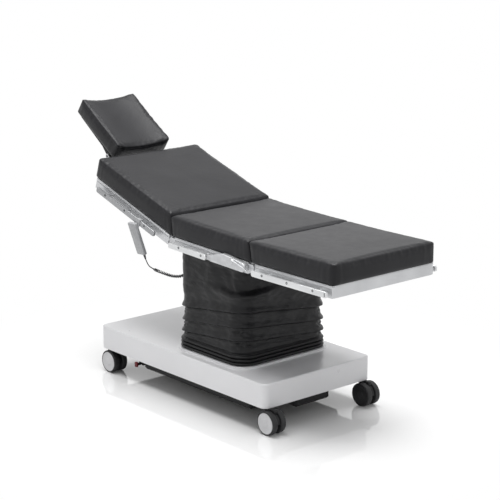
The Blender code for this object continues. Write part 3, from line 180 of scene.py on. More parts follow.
def vary(tree, shader, first, second, place, size):
    """Drift the base colour between two close tones over patches of one size."""
    patches = noise_of(tree, place, size, detail=3.0)
    ramp = add(tree, "ShaderNodeValToRGB", {"Fac": patches})
    ramp.color_ramp.elements[0].position = 0.32
    ramp.color_ramp.elements[0].color = colour(first)
    ramp.color_ramp.elements[1].position = 0.68
    ramp.color_ramp.elements[1].color = colour(second)
    tree.links.new(ramp.outputs["Color"], shader.inputs["Base Color"])


def rough_range(tree, shader, source, low, high):
    """Let the roughness follow a texture between two values."""
    span = add(tree, "ShaderNodeMapRange", {"Value": source, "To Min": low, "To Max": high})
    tree.links.new(span.outputs["Result"], shader.inputs["Roughness"])


def bump(tree, shader, height, strength, distance, under=None):
    """Raise the surface by a texture. Under is an earlier bump that this one lies on."""
    inputs = {"Height": height, "Strength": strength, "Distance": distance}
    if under:
        inputs["Normal"] = under.outputs["Normal"]
    raised = add(tree, "ShaderNodeBump", inputs)
    tree.links.new(raised.outputs["Normal"], shader.inputs["Normal"])
    return raised


# %% [markdown]
# ## Finishes of the soft parts
# The pads are covered in welded polyurethane leather: close to black, with a low sheen that turns grey where
# it mirrors the room at a flat angle. Its grain is 1 to 1.5 mm. The bellows is nylon fabric coated with
# rubber.

# %% Polyurethane leather and coated fabric
def polyurethane_leather():
    material, tree, shader = start_material("polyurethane_leather", 0.42)
    shader.inputs["Specular IOR Level"].default_value = 0.24
    shader.inputs["Sheen Weight"].default_value = 0.03
    shader.inputs["Sheen Roughness"].default_value = 0.5
    place = place_of(tree)
    vary(tree, shader, "#151518", "#1b1b1e", place, 90 * MM)
    clouds = noise_of(tree, place, 45 * MM)
    rough_range(tree, shader, clouds, 0.34, 0.46)
    slack = bump(tree, shader, clouds, 0.22, 2.5 * MM)
    # the grain is drawn at 2 mm, so that it shows
    grain = add(tree, "ShaderNodeTexVoronoi", {"Vector": place, "Scale": per_metre(2.0 * MM)}, feature="F1")
    bump(tree, shader, grain.outputs["Distance"], 0.18, 0.25 * MM, under=slack)
    return material


def coated_fabric():
    material, tree, shader = start_material("rubber_coated_nylon", 0.42)
    shader.inputs["Specular IOR Level"].default_value = 0.26
    shader.inputs["Sheen Weight"].default_value = 0.03
    shader.inputs["Sheen Roughness"].default_value = 0.45
    place = place_of(tree)
    vary(tree, shader, "#0e0e10", "#141416", place, 60 * MM)
    # soft crumples of the skin, wider than tall, as the skin is gathered from above
    crumple_place = place_of(tree, stretch=(1, 1, 2.2))
    crumple = noise_of(tree, crumple_place, 38 * MM, detail=3.0, distortion=0.6)
    rough_range(tree, shader, crumple, 0.34, 0.52)
    soft = bump(tree, shader, crumple, 0.5, 4 * MM)
    # the weave is 0.4 mm, drawn as faint slanting lines about 3 mm apart, so that it shows from close by
    weave = add(tree, "ShaderNodeTexWave", {"Vector": place, "Scale": per_metre(9 * MM), "Distortion": 0.2},
                wave_type="BANDS", bands_direction="DIAGONAL")
    bump(tree, shader, weave.outputs["Fac"], 0.05, 0.2 * MM, under=soft)
    return material


leather = polyurethane_leather()
fabric = coated_fabric()

# %% [markdown]
# ## Finishes of the metals
# The side bars and plates are extruded and rolled aluminium, anodised to a satin grey, so their grain runs
# along the section. The clamp rails are ground stainless steel. The joint housings and the head's link are
# cast aluminium, blasted with fine beads. The lifting parts inside are machined steel.

# %% Metals
def drawn_metal(name, first, second, roughness, metallic, slope):
    """Metal with a grain that runs along a slope. The lines are drawn wider than real ones, to show."""
    material, tree, shader = start_material(name, roughness, metallic)
    run, line = 300 * MM, 1.6 * MM
    grain_place = place_of(tree, stretch=(line / run, 1, 1), slope=slope)
    grain = noise_of(tree, grain_place, line)
    vary(tree, shader, first, second, place_of(tree, slope=slope), 120 * MM)
    rough_range(tree, shader, grain, roughness - 0.06, roughness + 0.08)
    bump(tree, shader, grain, 0.12, 0.15 * MM)
    return material


def cast_aluminium():
    material, tree, shader = start_material("bead_blasted_cast_aluminium", 0.45, 0.75)
    place = place_of(tree)
    vary(tree, shader, "#bdbec0", "#cbccce", place, 25 * MM)
    # real bead marks are 0.1 mm, drawn at 0.9 mm
    beads = noise_of(tree, place, 0.9 * MM)
    rough_range(tree, shader, beads, 0.38, 0.52)
    bump(tree, shader, beads, 0.25, 0.12 * MM)
    return material


def machined_steel():
    material, tree, shader = start_material("turned_steel", 0.28, 1.0)
    place = place_of(tree, stretch=(1, 1, 60))
    vary(tree, shader, "#8f9297", "#a3a6aa", place_of(tree), 40 * MM)
    rings = noise_of(tree, place, 60 * MM)
    rough_range(tree, shader, rings, 0.22, 0.36)
    bump(tree, shader, rings, 0.1, 0.1 * MM)
    return material


def anodised(name, slope):
    return drawn_metal(name, "#c3c4c6", "#cfd0d2", 0.40, 0.70, slope)


anodised_level = anodised("anodised_aluminium_level", 0)
anodised_seat = anodised("anodised_aluminium_seat", -seat_slope)
anodised_back = anodised("anodised_aluminium_back", -back_slope)
steel_level = drawn_metal("ground_stainless_level", "#d6d7d8", "#e2e3e4", 0.34, 0.75, 0)
steel_seat = drawn_metal("ground_stainless_seat", "#d6d7d8", "#e2e3e4", 0.34, 0.75, -seat_slope)
# the back's rails are drawn darker than the other rails: painted shade for the dimmer room that they mirror
steel_back_painted_shade = drawn_metal("ground_stainless_back_painted_shade", "#98999b", "#a5a6a8", 0.38, 0.75, -back_slope)
cast_metal = cast_aluminium()
turned_steel = machined_steel()
drawn_column = drawn_metal("anodised_column_tube", "#b4b6b9", "#c0c2c5", 0.32, 0.9, math.pi / 2)

# %% [markdown]
# ## Finishes of the paint and plastics
# The base is sprayed with a smooth light grey lacquer, which leaves a faint orange peel of about 4 mm. Its
# underside and the head plate are powder coated black. The plastics are moulded: ABS for the hand control,
# glass-filled nylon for the caster hoods, plain nylon for the knobs, and soft polyurethane for the treads.

# %% Paint and plastics
def sprayed_lacquer():
    material, tree, shader = start_material("sprayed_lacquer_on_steel", 0.30)
    shader.inputs["Coat Weight"].default_value = 0.35
    shader.inputs["Coat Roughness"].default_value = 0.08
    place = place_of(tree)
    vary(tree, shader, "#d6d6d8", "#dbdbdd", place, 220 * MM)
    peel = noise_of(tree, place, 4 * MM, detail=1.0)
    bump(tree, shader, peel, 0.04, 0.15 * MM)
    dust = noise_of(tree, place, 70 * MM, detail=4.0)
    rough_range(tree, shader, dust, 0.24, 0.36)
    return material


def moulded(name, first, second, roughness, texture=1.2 * MM, strength=0.2, metallic=0.0, shine=0.5):
    """Moulded or powder coated surface: two close tones and a fine pebbled texture."""
    material, tree, shader = start_material(name, roughness, metallic)
    shader.inputs["Specular IOR Level"].default_value = shine
    place = place_of(tree)
    vary(tree, shader, first, second, place, 30 * MM)
    pebbles = noise_of(tree, place, texture)
    rough_range(tree, shader, pebbles, roughness - 0.06, roughness + 0.08)
    bump(tree, shader, pebbles, strength, 0.1 * MM)
    return material


lacquer = sprayed_lacquer()
powder_black = moulded("black_powder_coat", "#0f0f11", "#151517", 0.52, texture=1.5 * MM, shine=0.25)
powder_grey = moulded("grey_powder_coat", "#45474b", "#4d4f53", 0.50, texture=1.5 * MM)
hood_nylon = moulded("glass_filled_nylon", "#121214", "#19191b", 0.50, shine=0.35)
hub_plastic = moulded("moulded_polyamide_hub", "#c2c2c4", "#cacacc", 0.36, strength=0.08)
tread_rubber = moulded("polyurethane_tread", "#131315", "#1b1b1d", 0.60)
knob_nylon = moulded("moulded_nylon_knob", "#1a1a1c", "#232326", 0.46)
handset_abs = moulded("moulded_abs_grey", "#9c9d9f", "#a4a5a7", 0.42, strength=0.12)
keypad_film = moulded("printed_polyester_film", "#5a5d62", "#63666b", 0.34, strength=0.05)
key_silicone = moulded("silicone_key", "#dededc", "#e8e8e6", 0.50, strength=0.06)
cable_jacket = moulded("polyurethane_cable_jacket", "#1f1f22", "#28282b", 0.42, strength=0.08, shine=0.35)
screw_steel = moulded("blackened_screw_steel", "#3a3b3d", "#47484b", 0.40, metallic=0.6)
inlet_plastic = moulded("moulded_inlet_plastic", "#161618", "#1e1e20", 0.48)
pedal_red = moulded("red_soft_pvc", "#56151a", "#641b20", 0.46)

# %% [markdown]
# ## Dressing the solids
# A solid whose shape is right stays as it is. It gets a finish and two modifiers: one welds its loose
# triangles, and one rounds its sharp edges by about a millimetre, so that they catch the light as real edges
# do.

# %% Dress the rigid solids
crease_angle = math.radians(33)
weld_gap = 0.02 * MM


def smooth_shaded(made):
    made.data.polygons.foreach_set("use_smooth", [True] * len(made.data.polygons))


def round_edges(made, width, steps=2):
    smooth_shaded(made)
    rounding = made.modifiers.new("rounding", "BEVEL")
    rounding.width = width
    rounding.segments = steps
    rounding.limit_method = "ANGLE"
    rounding.angle_limit = crease_angle
    rounding.harden_normals = True


def dress(name, material, edge=0.8 * MM):
    """Give a solid its finish and slightly rounded edges."""
    solid = nodes[name]
    solid.data.materials.clear()
    solid.data.materials.append(material)
    smooth_shaded(solid)
    weld = solid.modifiers.new("weld", "WELD")
    weld.merge_threshold = weld_gap
    if edge:
        round_edges(solid, edge)


for name in ("base_chassis", "bellows_collar", "head_plate"):
    dress(name, powder_black)
dress("mains_inlet", inlet_plastic, edge=0.5 * MM)
dress("drive_unit", powder_grey)
for name in ("column_outer", "column_middle", "column_inner"):
    dress(name, drawn_column, edge=0.6 * MM)
for name in ("lift_cylinder", "lift_piston", "tilt_yoke", "tilt_saddle"):
    dress(name, turned_steel)
for number in range(1, 5):
    dress(f"caster_{number}_fork", hood_nylon)
    dress(f"handset_key_{number}", key_silicone, edge=0)
for side in ("near", "far"):
    dress(f"leg_rail_{side}", steel_level)
    dress(f"seat_rail_{side}", steel_seat)
    dress(f"back_rail_{side}", steel_back_painted_shade)
    dress(f"joint_housing_{side}", cast_metal, edge=1.2 * MM)
    dress(f"release_lever_{side}", cast_metal)
    dress(f"prong_knob_{side}", knob_nylon, edge=1.2 * MM)
dress("seat_plate", anodised_seat, edge=0.5 * MM)
dress("back_plate", anodised_back, edge=0.5 * MM)
dress("leg_plate", anodised_level, edge=0.5 * MM)
dress("head_prongs", cast_metal)
dress("head_link", cast_metal)
dress("head_clamp", knob_nylon)
dress("handset_body", handset_abs, edge=1.0 * MM)
dress("handset_keypad", keypad_film, edge=0.2 * MM)
dress("handset_strain_relief", knob_nylon, edge=0.4 * MM)
dress("cord_socket", knob_nylon)

# %% [markdown]
# ## Building pieces
# New pieces are made at their place in the table's frame, with their object at the origin. One function
# makes an object from points and faces. Another ends a piece: it gives it a finish, a body to ride on and
# the solids that it stands for.

# %% Helpers for new pieces
def new_object(name, points, faces):
    mesh = bpy.data.meshes.new(name)
    mesh.from_pydata([tuple(point) for point in points], [], faces)
    mesh.validate()
    made = bpy.data.objects.new(name, mesh)
    bpy.context.scene.collection.objects.link(made)
    return made


def settle(made):
    """Apply an object's modifiers to its mesh."""
    bpy.context.view_layer.update()
    graph = bpy.context.evaluated_depsgraph_get()
    mesh = bpy.data.meshes.new_from_object(made.evaluated_get(graph), depsgraph=graph)
    old = made.data
    made.modifiers.clear()
    made.data = mesh
    bpy.data.meshes.remove(old)
    return made


def copy_solid(node, name):
    """A welded copy of a solid, as a new piece."""
    made = bpy.data.objects.new(name, nodes[node].data.copy())
    bpy.context.scene.collection.objects.link(made)
    form = bmesh.new()
    form.from_mesh(made.data)
    bmesh.ops.remove_doubles(form, verts=form.verts, dist=weld_gap)
    flat = math.radians(0.5)
    bmesh.ops.dissolve_limit(form, angle_limit=flat, verts=form.verts, edges=form.edges)
    form.to_mesh(made.data)
    form.free()
    return made


def finish_piece(made, material, body=None, stands_for=(), smooth=True):
    made.data.materials.clear()
    made.data.materials.append(material)
    if smooth:
        smooth_shaded(made)
    if stands_for:
        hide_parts(*stands_for)
    if body:
        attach(made, body)
    return made


def tidy_normals(made):
    form = bmesh.new()
    form.from_mesh(made.data)
    bmesh.ops.remove_doubles(form, verts=form.verts, dist=0.01 * MM)
    bmesh.ops.recalc_face_normals(form, faces=form.faces)
    form.to_mesh(made.data)
    form.free()
    return made


def joined(name, parts):
    """Several closed shapes as one object."""
    form = bmesh.new()
    for part in parts:
        form.from_mesh(part.data)
        bpy.data.objects.remove(part, do_unlink=True)
    mesh = bpy.data.meshes.new(name)
    form.to_mesh(mesh)
    form.free()
    made = bpy.data.objects.new(name, mesh)
    bpy.context.scene.collection.objects.link(made)
    return made


def cut_with(made, cutter):
    """Cut one shape out of another and remove the cutter."""
    step = made.modifiers.new("cut", "BOOLEAN")
    step.operation = "DIFFERENCE"
    step.solver = "EXACT"
    step.object = cutter
    settle(made)
    bpy.data.objects.remove(cutter, do_unlink=True)
    return made


def box_object(name, low, high, matrix=None):
    """A plain box between two corners, for cutting and for small blocks."""
    made = new_object(
        name,
        [(x, y, z) for x in (low[0], high[0]) for y in (low[1], high[1]) for z in (low[2], high[2])],
        [(0, 1, 3, 2), (4, 6, 7, 5), (0, 4, 5, 1), (2, 3, 7, 6), (0, 2, 6, 4), (1, 5, 7, 3)],
    )
    if matrix:
        made.data.transform(matrix)
    return made


def rounded_ring(half_a, half_b, radius, count):
    """Points and outward directions around a rounded rectangle, evenly spaced, and each one's distance along
    it from the nearest corner's middle."""
    flat_a, flat_b = 2 * (half_a - radius), 2 * (half_b - radius)
    arc = math.pi / 2 * radius
    # the walk starts in the middle of the side that faces +a
    parts = [flat_b / 2, arc, flat_a, arc, flat_b, arc, flat_a, arc, flat_b / 2]
    total = sum(parts)
    corner_middles = []
    walked = 0
    for index, part in enumerate(parts):
        if index % 2:
            corner_middles.append(walked + part / 2)
        walked += part
    spots, ways, from_corner = [], [], []
    for step in range(count):
        s = total * step / count
        gaps = [(s - m + total / 2) % total - total / 2 for m in corner_middles]
        from_corner.append(min(gaps, key=abs))
        walked = 0
        for index, part in enumerate(parts):
            if s <= walked + part or index == len(parts) - 1:
                break
            walked += part
        rest = s - walked
        side = (index // 2) % 4
        turn = side * math.pi / 2
        if index % 2:
            turn += rest / radius
            centre = ((1, 1), (-1, 1), (-1, -1), (1, -1))[side]
            spot = (
                centre[0] * (half_a - radius) + radius * math.cos(turn),
                centre[1] * (half_b - radius) + radius * math.sin(turn),
            )
        else:
            if side == 0:
                along = rest if index == 0 else -flat_b / 2 + rest
                spot = (half_a, along)
            elif side == 1:
                spot = (flat_a / 2 - rest, half_b)
            elif side == 2:
                spot = (-half_a, flat_b / 2 - rest)
            else:
                spot = (-flat_a / 2 + rest, -half_b)
        spots.append(spot)
        ways.append((math.cos(turn), math.sin(turn)))
    return spots, ways, from_corner


# %% [markdown]
# ## The cord of the hand control
# A thin lead runs down from the hand control. Then comes a stretch of small curls, which hangs in a shallow
# bow and goes up into the socket under the seat. It is made as a tube round a list of points.

# %% Cord
cord_radius = 2.2 * MM
curl_radius = 4.9 * MM
curl_count = 29
points_per_curl = 16
curls_to_widen = 2.2
cord_tip = Vector((-0.25654, -0.25899, 0.56258))
tip_down = Vector((0.05838, 0.29237, -0.95452))
cord_mouth = Vector((-0.09814, -0.12407, 0.59022))
mouth_down = Vector((-0.0349, 0, -0.99939))
cord_bow = [
    (-0.2363, -0.26007, 0.5400),
    (-0.2223, -0.25407, 0.5290),
    (-0.1763, -0.24207, 0.5180),
    (-0.1323, -0.20707, 0.5020),
    (-0.1053, -0.17207, 0.5060),
    (-0.1033, -0.13907, 0.5380),
]


def even_points(guide, spacing):
    """Points at an even spacing along a smooth curve through the guide."""
    dense = []
    ends = [guide[0] * 2 - guide[1]] + guide + [guide[-1] * 2 - guide[-2]]
    for a, b, c, d in zip(ends, ends[1:], ends[2:], ends[3:]):
        for step in range(40):
            t = step / 40
            bend = (c - a) * t + (2 * a - 5 * b + 4 * c - d) * t * t + (3 * b - a - 3 * c + d) * t ** 3
            dense.append(b + bend / 2)
    dense.append(guide[-1].copy())
    route = [dense[0]]
    walked = 0
    for a, b in zip(dense, dense[1:]):
        gap = (b - a).length
        while gap > 0 and walked + gap >= spacing:
            a = a + (b - a) * ((spacing - walked) / gap)
            route.append(a.copy())
            gap = (b - a).length
            walked = 0
        walked += gap
    return route


def cord_points():
    """The lead, the curls and the straight end in the socket. Both ends leave their mouths straight."""
    lead_points, end_points = 6, 3
    fine_per_lead_point, end_steps = 8, 18
    guide = [cord_tip + tip_down * 2 * cord_radius]
    guide += [Vector(spot) for spot in cord_bow]
    guide.append(cord_mouth + mouth_down * 4 * cord_radius)
    fine = even_points(guide, cord_radius / 2)
    curled = fine[lead_points * fine_per_lead_point:len(fine) - end_steps]
    total = curl_count * points_per_curl
    points = [cord_tip] + [fine[i * fine_per_lead_point] for i in range(lead_points)]
    side = Vector((0, 0, 1))
    for i in range(total + 1):
        share = i / total
        spot = share * (len(curled) - 1)
        low = min(int(spot), len(curled) - 2)
        centre = curled[low].lerp(curled[low + 1], spot - low)
        ahead = (curled[low + 1] - curled[low]).normalized()
        side = (side - ahead * side.dot(ahead)).normalized()
        other = ahead.cross(side)
        turn = 2 * math.pi * share * curl_count
        curls_from_end = min(share, 1 - share) * curl_count
        radius = curl_radius * min(1, curls_from_end / curls_to_widen)
        points.append(centre + (side * math.cos(turn) + other * math.sin(turn)) * radius)
    for i in range(1, end_points + 1):
        points.append(fine[len(fine) - end_steps + round(i * (end_steps - 1) / end_points)])
    points.append(cord_mouth)
    return points


def tube_along(name, points, radius, sides):
    """A closed round tube along points, which doesn't twist."""
    rings = []
    normal = None
    for i, spot in enumerate(points):
        ahead = (points[min(i + 1, len(points) - 1)] - points[max(i - 1, 0)]).normalized()
        if normal is None:
            normal = ahead.orthogonal().normalized()
        normal = (normal - ahead * normal.dot(ahead)).normalized()
        other = ahead.cross(normal)
        turns = [2 * math.pi * k / sides for k in range(sides)]
        rings.append([spot + (normal * math.cos(t) + other * math.sin(t)) * radius for t in turns])
    verts = [p for ring in rings for p in ring]
    faces = []
    for r in range(len(rings) - 1):
        for k in range(sides):
            n = (k + 1) % sides
            faces.append((r * sides + k, r * sides + n, (r + 1) * sides + n, (r + 1) * sides + k))
    faces.append(tuple(range(sides))[::-1])
    faces.append(tuple((len(rings) - 1) * sides + k for k in range(sides)))
    return new_object(name, verts, faces)


cord_path = cord_points()
cord = tube_along("handset_cord_curls", cord_path, cord_radius, 10)
tidy_normals(cord)
finish_piece(cord, cable_jacket, stands_for=("handset_cord",))
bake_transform(cord)

# %% [markdown]
# ## The base cover
# The cover is a deep pressed tray turned upside down, with rounded top edges. It is built from rings of
# points around it: from its ceiling down the inside, up the outside and over the edge to the flat top, which
# leaves a closed wall.

# %% Base cover
base_low, base_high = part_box("base_cover")
plinth_height = 8 * MM
cover_top = base_high.z - plinth_height
base_middle = (base_low + base_high) / 2
base_half = (base_high - base_low) / 2
cover_corner = 28 * MM
cover_edge = 5.5 * MM
cover_wall = 4 * MM
ring_count = 640


def stack_rings(name, rings, centre, count):
    """A closed surface through rounded rectangles: the half length, half width, corner and height of each."""
    verts, faces = [], []
    for half_a, half_b, radius, z in rings:
        spots, _, _ = rounded_ring(half_a, half_b, radius, count)
        verts += [(centre[0] + a, centre[1] + b, z) for a, b in spots]
    for r in range(len(rings) - 1):
        for k in range(count):
            n = (k + 1) % count
            faces.append((r * count + k, r * count + n, (r + 1) * count + n, (r + 1) * count + k))
    faces.append(tuple(range(count))[::-1])
    faces.append(tuple((len(rings) - 1) * count + k for k in range(count)))
    return new_object(name, verts, faces)


def edge_arc(half_a, half_b, radius, top, edge, steps=6):
    """Rings over a rounded top edge, with one more at each end, which keeps the flat faces flat."""
    hold = 1.2 * MM
    rings = [(half_a, half_b, radius, top - edge - hold)]
    for step in range(steps + 1):
        turn = math.pi / 2 * step / steps
        inward = edge * (1 - math.cos(turn))
        rings.append((half_a - inward, half_b - inward, radius - inward, top - edge + edge * math.sin(turn)))
    inner = edge + hold
    rings.append((half_a - inner, half_b - inner, radius - inner, top))
    return rings


def build_cover():
    inner_a = base_half.x - cover_wall
    inner_b = base_half.y - cover_wall
    inner_corner = cover_corner - cover_wall
    rings = [
        (inner_a, inner_b, inner_corner, cover_top - cover_wall),
        (inner_a, inner_b, inner_corner, base_low.z),
        (base_half.x, base_half.y, cover_corner, base_low.z),
    ]
    rings += edge_arc(base_half.x, base_half.y, cover_corner, cover_top, cover_edge)
    cover = stack_rings("base_cover_shell", rings, base_middle, ring_count)
    tidy_normals(cover)
    inlet_low, inlet_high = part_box("mains_inlet")
    gap = 0.5 * MM
    cutter = box_object(
        "inlet_cutter",
        (inlet_low.x - 10 * MM, inlet_low.y - gap, max(inlet_low.z, base_low.z + cover_wall) - gap),
        (inlet_low.x + 30 * MM, inlet_high.y + gap, inlet_high.z + gap),
    )
    cut_with(cover, cutter)
    finish_piece(cover, lacquer, "base", ("base_cover",))
    cover.data.set_sharp_from_angle(angle=math.radians(40))


build_cover()

# %% [markdown]
# The step under the bellows is a separate low block with its own rounded edge. Its foot flares out onto the
# cover like a fillet.

# %% Step under the bellows
column_x = joint_at["lateral_tilt"].x
bellows_half_a, bellows_half_b, bellows_corner = 222 * MM, 252 * MM, 80 * MM
step_margin = 9 * MM
step_half_a = bellows_half_a + step_margin
step_half_b = bellows_half_b + step_margin
step_corner = bellows_corner + step_margin


def build_step():
    rings = []
    for flare, rise in ((3 * MM, -1 * MM), (2.2 * MM, 0.8 * MM), (0, 3 * MM)):
        rings.append((step_half_a + flare, step_half_b + flare, step_corner + flare, cover_top + rise))
    rings += edge_arc(step_half_a, step_half_b, step_corner, base_high.z, 3 * MM, steps=4)
    block = stack_rings("bellows_step", rings, (column_x, middle_y), ring_count)
    tidy_normals(block)
    finish_piece(block, lacquer, "base")


build_step()

# %% [markdown]
# ## The bellows
# The skin is one sheet of coated fabric. Three tight folds lie at its foot, where the slack is stored. Above
# them three ribs stand out, and the fabric between them sinks in. The ribs stand high at two opposite
# corners and low at the other two, so they run at a slant along every face. The plain upper part droops
# under the frame at the two high corners. The skin is drawn as an offset from a rounded rectangle at each
# height. It is split in three, each time just under a rib.

# %% Bellows measures
bellows_inset = 6 * MM
bellows_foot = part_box("bellows_pleats")[0].z
tight_pitch, tight_count = 15 * MM, 3
tight_top = bellows_foot + tight_pitch * tight_count
rib_heights = (331 * MM, 388 * MM, 453 * MM)
rib_split_drop = 10 * MM
rib_rise, rib_fade_up, rib_fade_down = 11.5 * MM, 14 * MM, 6.5 * MM
taper_a, taper_b, taper_height = 4 * MM, 5 * MM, 215 * MM
drape_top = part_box("bellows_drape")[1].z
slant_levels = (tight_top,) + rib_heights + (drape_top,)
slant_drops = (0, 44 * MM, 52 * MM, 58 * MM, 0)
droop_height = 520 * MM
top_lean = math.tan(seat_slope)
around_count = 320
bellows_wall = 1.4 * MM
lower_split = rib_heights[0] - rib_split_drop
upper_split = rib_heights[2] - rib_split_drop


# %% Bellows skin
def bell(distance, width):
    """A smooth bump that is 1 at no distance and fades over the width."""
    return math.exp(-(distance / width) ** 2)


def ease(value, low, high):
    """Runs smoothly from 0 to 1 between low and high."""
    share = min(1, max(0, (value - low) / (high - low)))
    return share * share * (3 - 2 * share)


def slant_at(level, a, b):
    """How far the skin lies below its level, which is nothing at the near foot and the far head corner."""
    from_high = 1 - abs(a / bellows_half_a - b / bellows_half_b) / 2
    return float(np.interp(level, slant_levels, slant_drops)) * from_high


def fold_offset(z):
    """How far the skin stands out at one height, before it sags."""
    if z < tight_top:
        share = (z - bellows_foot) / tight_pitch % 1
        return -8 * MM + 14 * MM * math.sin(math.pi * share) ** 0.4
    offset = -5.5 * MM
    for rib in rib_heights:
        above = z - rib
        offset += rib_rise * bell(above, rib_fade_up if above > 0 else rib_fade_down)
        # a fine seam just above the crest, and a tuck below it
        offset -= 0.5 * MM * bell(above - 6 * MM, 1.6 * MM)
        offset -= 3 * MM * bell(above + 9 * MM, 5 * MM)
    # the skin swells over the tight folds and stands out further above the last rib
    offset += 3.5 * MM * bell(z - tight_top - 14 * MM, 9 * MM)
    offset += 6 * MM * ease(z, rib_heights[2] + 6 * MM, rib_heights[2] + 60 * MM)
    return offset


def droop(z, gap, height_share):
    """The upper skin's droop at the two high corners: a swag, with the skin above it drawn in and creased."""
    reach = abs(gap)
    # the swag's line is lowest at the corner and rises a little unevenly to both sides
    line = droop_height + 18 * MM * ease(reach, 20 * MM, 200 * MM)
    line += 4 * MM * noise.noise(Vector((gap * 16, 2.5, 0)))
    inner = (1 - ease(reach, 90 * MM, 220 * MM)) * ease(height_share, 0.25, 0.75)
    # the skin is drawn in from the line to just under the frame, and rolls out softly below the line
    scoop = ease(z, line - 4 * MM, line + 16 * MM) * (1 - ease(z, drape_top - 40 * MM, drape_top - 6 * MM))
    lip = 4 * MM * bell(z - line + 8 * MM, 9 * MM)
    crease = noise.noise(Vector((gap * 26 + z * 22, z * 12 - gap * 9, 1.7)))
    return inner * (lip - 17 * MM * scoop + 5 * MM * crease * scoop)


def crumple(z, gap):
    """Small pinches where the gathered skin turns a corner between the ribs."""
    near = bell(abs(gap) - 12 * MM, 34 * MM)
    # the pinches lie between the first and second rib, under the first, and weaker between the upper two
    band = max(bell(z - 362 * MM, 13 * MM), bell(z - 306 * MM, 16 * MM), 0.5 * bell(z - 425 * MM, 14 * MM))
    slant = noise.noise(Vector((gap * 55 + z * 60, z * 70 - gap * 25, 0.4)))
    return 11 * MM * near * band * (slant - 0.15)


def skin_offset(z, gap, a, b):
    offset = fold_offset(z)
    if z > tight_top:
        room = ease(z, tight_top, tight_top + 14 * MM) * (1 - ease(z, drape_top - 20 * MM, drape_top))
        # broad waves of the slack skin, and finer flat ones
        soft = noise.noise(Vector((a * 13 + 3, b * 13, z * 20)))
        slack = noise.noise(Vector((a * 30, b * 30 + 7, z * 75)))
        share = abs(a / bellows_half_a - b / bellows_half_b) / 2
        offset += room * (3 * MM * soft + 1.8 * MM * slack) + droop(z, gap, share) + crumple(z, gap)
    return min(offset, 8.5 * MM)


def row_heights(low, high, spacing):
    count = max(4, round((high - low) / spacing))
    return [low + (high - low) * i / count for i in range(count + 1)]


def bellows_part(name, heights):
    """One stretch of the skin as a closed thin wall."""
    verts, faces = [], []
    for level in heights:
        share = min(1, (level - bellows_foot) / taper_height)
        half_a = bellows_half_a - bellows_inset - taper_a * share
        half_b = bellows_half_b - bellows_inset - taper_b * share
        spots, ways, gaps = rounded_ring(half_a, half_b, bellows_corner - bellows_inset, around_count)
        lean = ease(level, upper_split, drape_top) * top_lean
        for (a, b), (way_a, way_b), gap in zip(spots, ways, gaps):
            offset = skin_offset(level, gap, a, b)
            x = a + way_a * offset
            z = level - slant_at(level, a, b) - x * lean
            verts.append((column_x + x, middle_y + b + way_b * offset, z))
    for r in range(len(heights) - 1):
        for k in range(around_count):
            n = (k + 1) % around_count
            faces.append((
                r * around_count + k, r * around_count + n,
                (r + 1) * around_count + n, (r + 1) * around_count + k,
            ))
    part = new_object(name, verts, faces)
    wall = part.modifiers.new("wall", "SOLIDIFY")
    wall.thickness = bellows_wall
    wall.offset = -1
    wall.use_rim = True
    settle(part)
    return finish_piece(part, fabric)


def across_joint(part, node):
    """Hide the solid that a stretch of the skin stands for, and bake the stretch's place into its points."""
    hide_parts(node)
    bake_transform(part)
    print(part.name, len(part.data.polygons), "faces")


# %% Bellows parts
lift_rows = row_heights(bellows_foot, tight_top, 1.0 * MM) + row_heights(tight_top, lower_split, 1.8 * MM)[1:]
lift_part = bellows_part("bellows_tight_folds", lift_rows)
across_joint(lift_part, "bellows_pleats")
side_part = bellows_part("bellows_ribs", row_heights(lower_split, upper_split, 1.8 * MM))
across_joint(side_part, "bellows_pleats")
top_part = bellows_part("bellows_upper_skin", row_heights(upper_split, drape_top, 2.2 * MM))
across_joint(top_part, "bellows_drape")

# %% [markdown]
# ## The pads
# A pad is a block of foam in a welded leather cover. Its top is nearly flat with a low crown, its edges are
# tight, and the cover puckers a little along them and at the corners. Each pad starts as a block a little
# over its measures, because even cells and smoothing shrink it. A cloth simulation then blows the cover up
# for fourteen frames, with its base held to the plate, and the swelling is limited to a few millimetres.
# Fine puckers, the crown or dish and the leaning ends are added afterwards.

# %% Pad measures
pad_floor = 19.6 * MM
pad_voxel = 6.2 * MM
pad_grow = 1.5 * MM
pad_cap = 3.4 * MM
pad_edge = 6 * MM
pad_corner = 17 * MM
pad_ring_count = 320
spare_length = 34 * MM
sim_frames = 14
cloth_pressure = 4.0
pad_half = 275 * MM
pad_height = 84 * MM


# %% Pad block
class Pad:
    """The measures of one pad, in its section's frame. Each pair is for the pad's two ends, lowest first."""

    def __init__(self, node, section, ends, half_width=pad_half, floor=pad_floor, height=pad_height,
                 corner=pad_corner, crown=3 * MM, dish=0.0, leans=(0.0, 0.0), met=(False, False)):
        self.node = node
        self.section = section
        self.middle = (ends[0] + ends[1]) / 2
        self.half_length = (ends[1] - ends[0]) / 2
        self.half_width = half_width
        self.floor = floor
        self.height = height
        self.corner = corner
        self.crown = crown
        self.dish = dish
        self.leans = leans
        self.met = met


def cut_across(block, station, way):
    """Cut a block straight across at a station and close the cut."""
    form = bmesh.new()
    form.from_mesh(block.data)
    whole = form.verts[:] + form.edges[:] + form.faces[:]
    bmesh.ops.bisect_plane(form, geom=whole, plane_co=(station, 0, 0), plane_no=(way, 0, 0), clear_outer=True)
    bmesh.ops.holes_fill(form, edges=[edge for edge in form.edges if edge.is_boundary], sides=0)
    form.to_mesh(block.data)
    form.free()


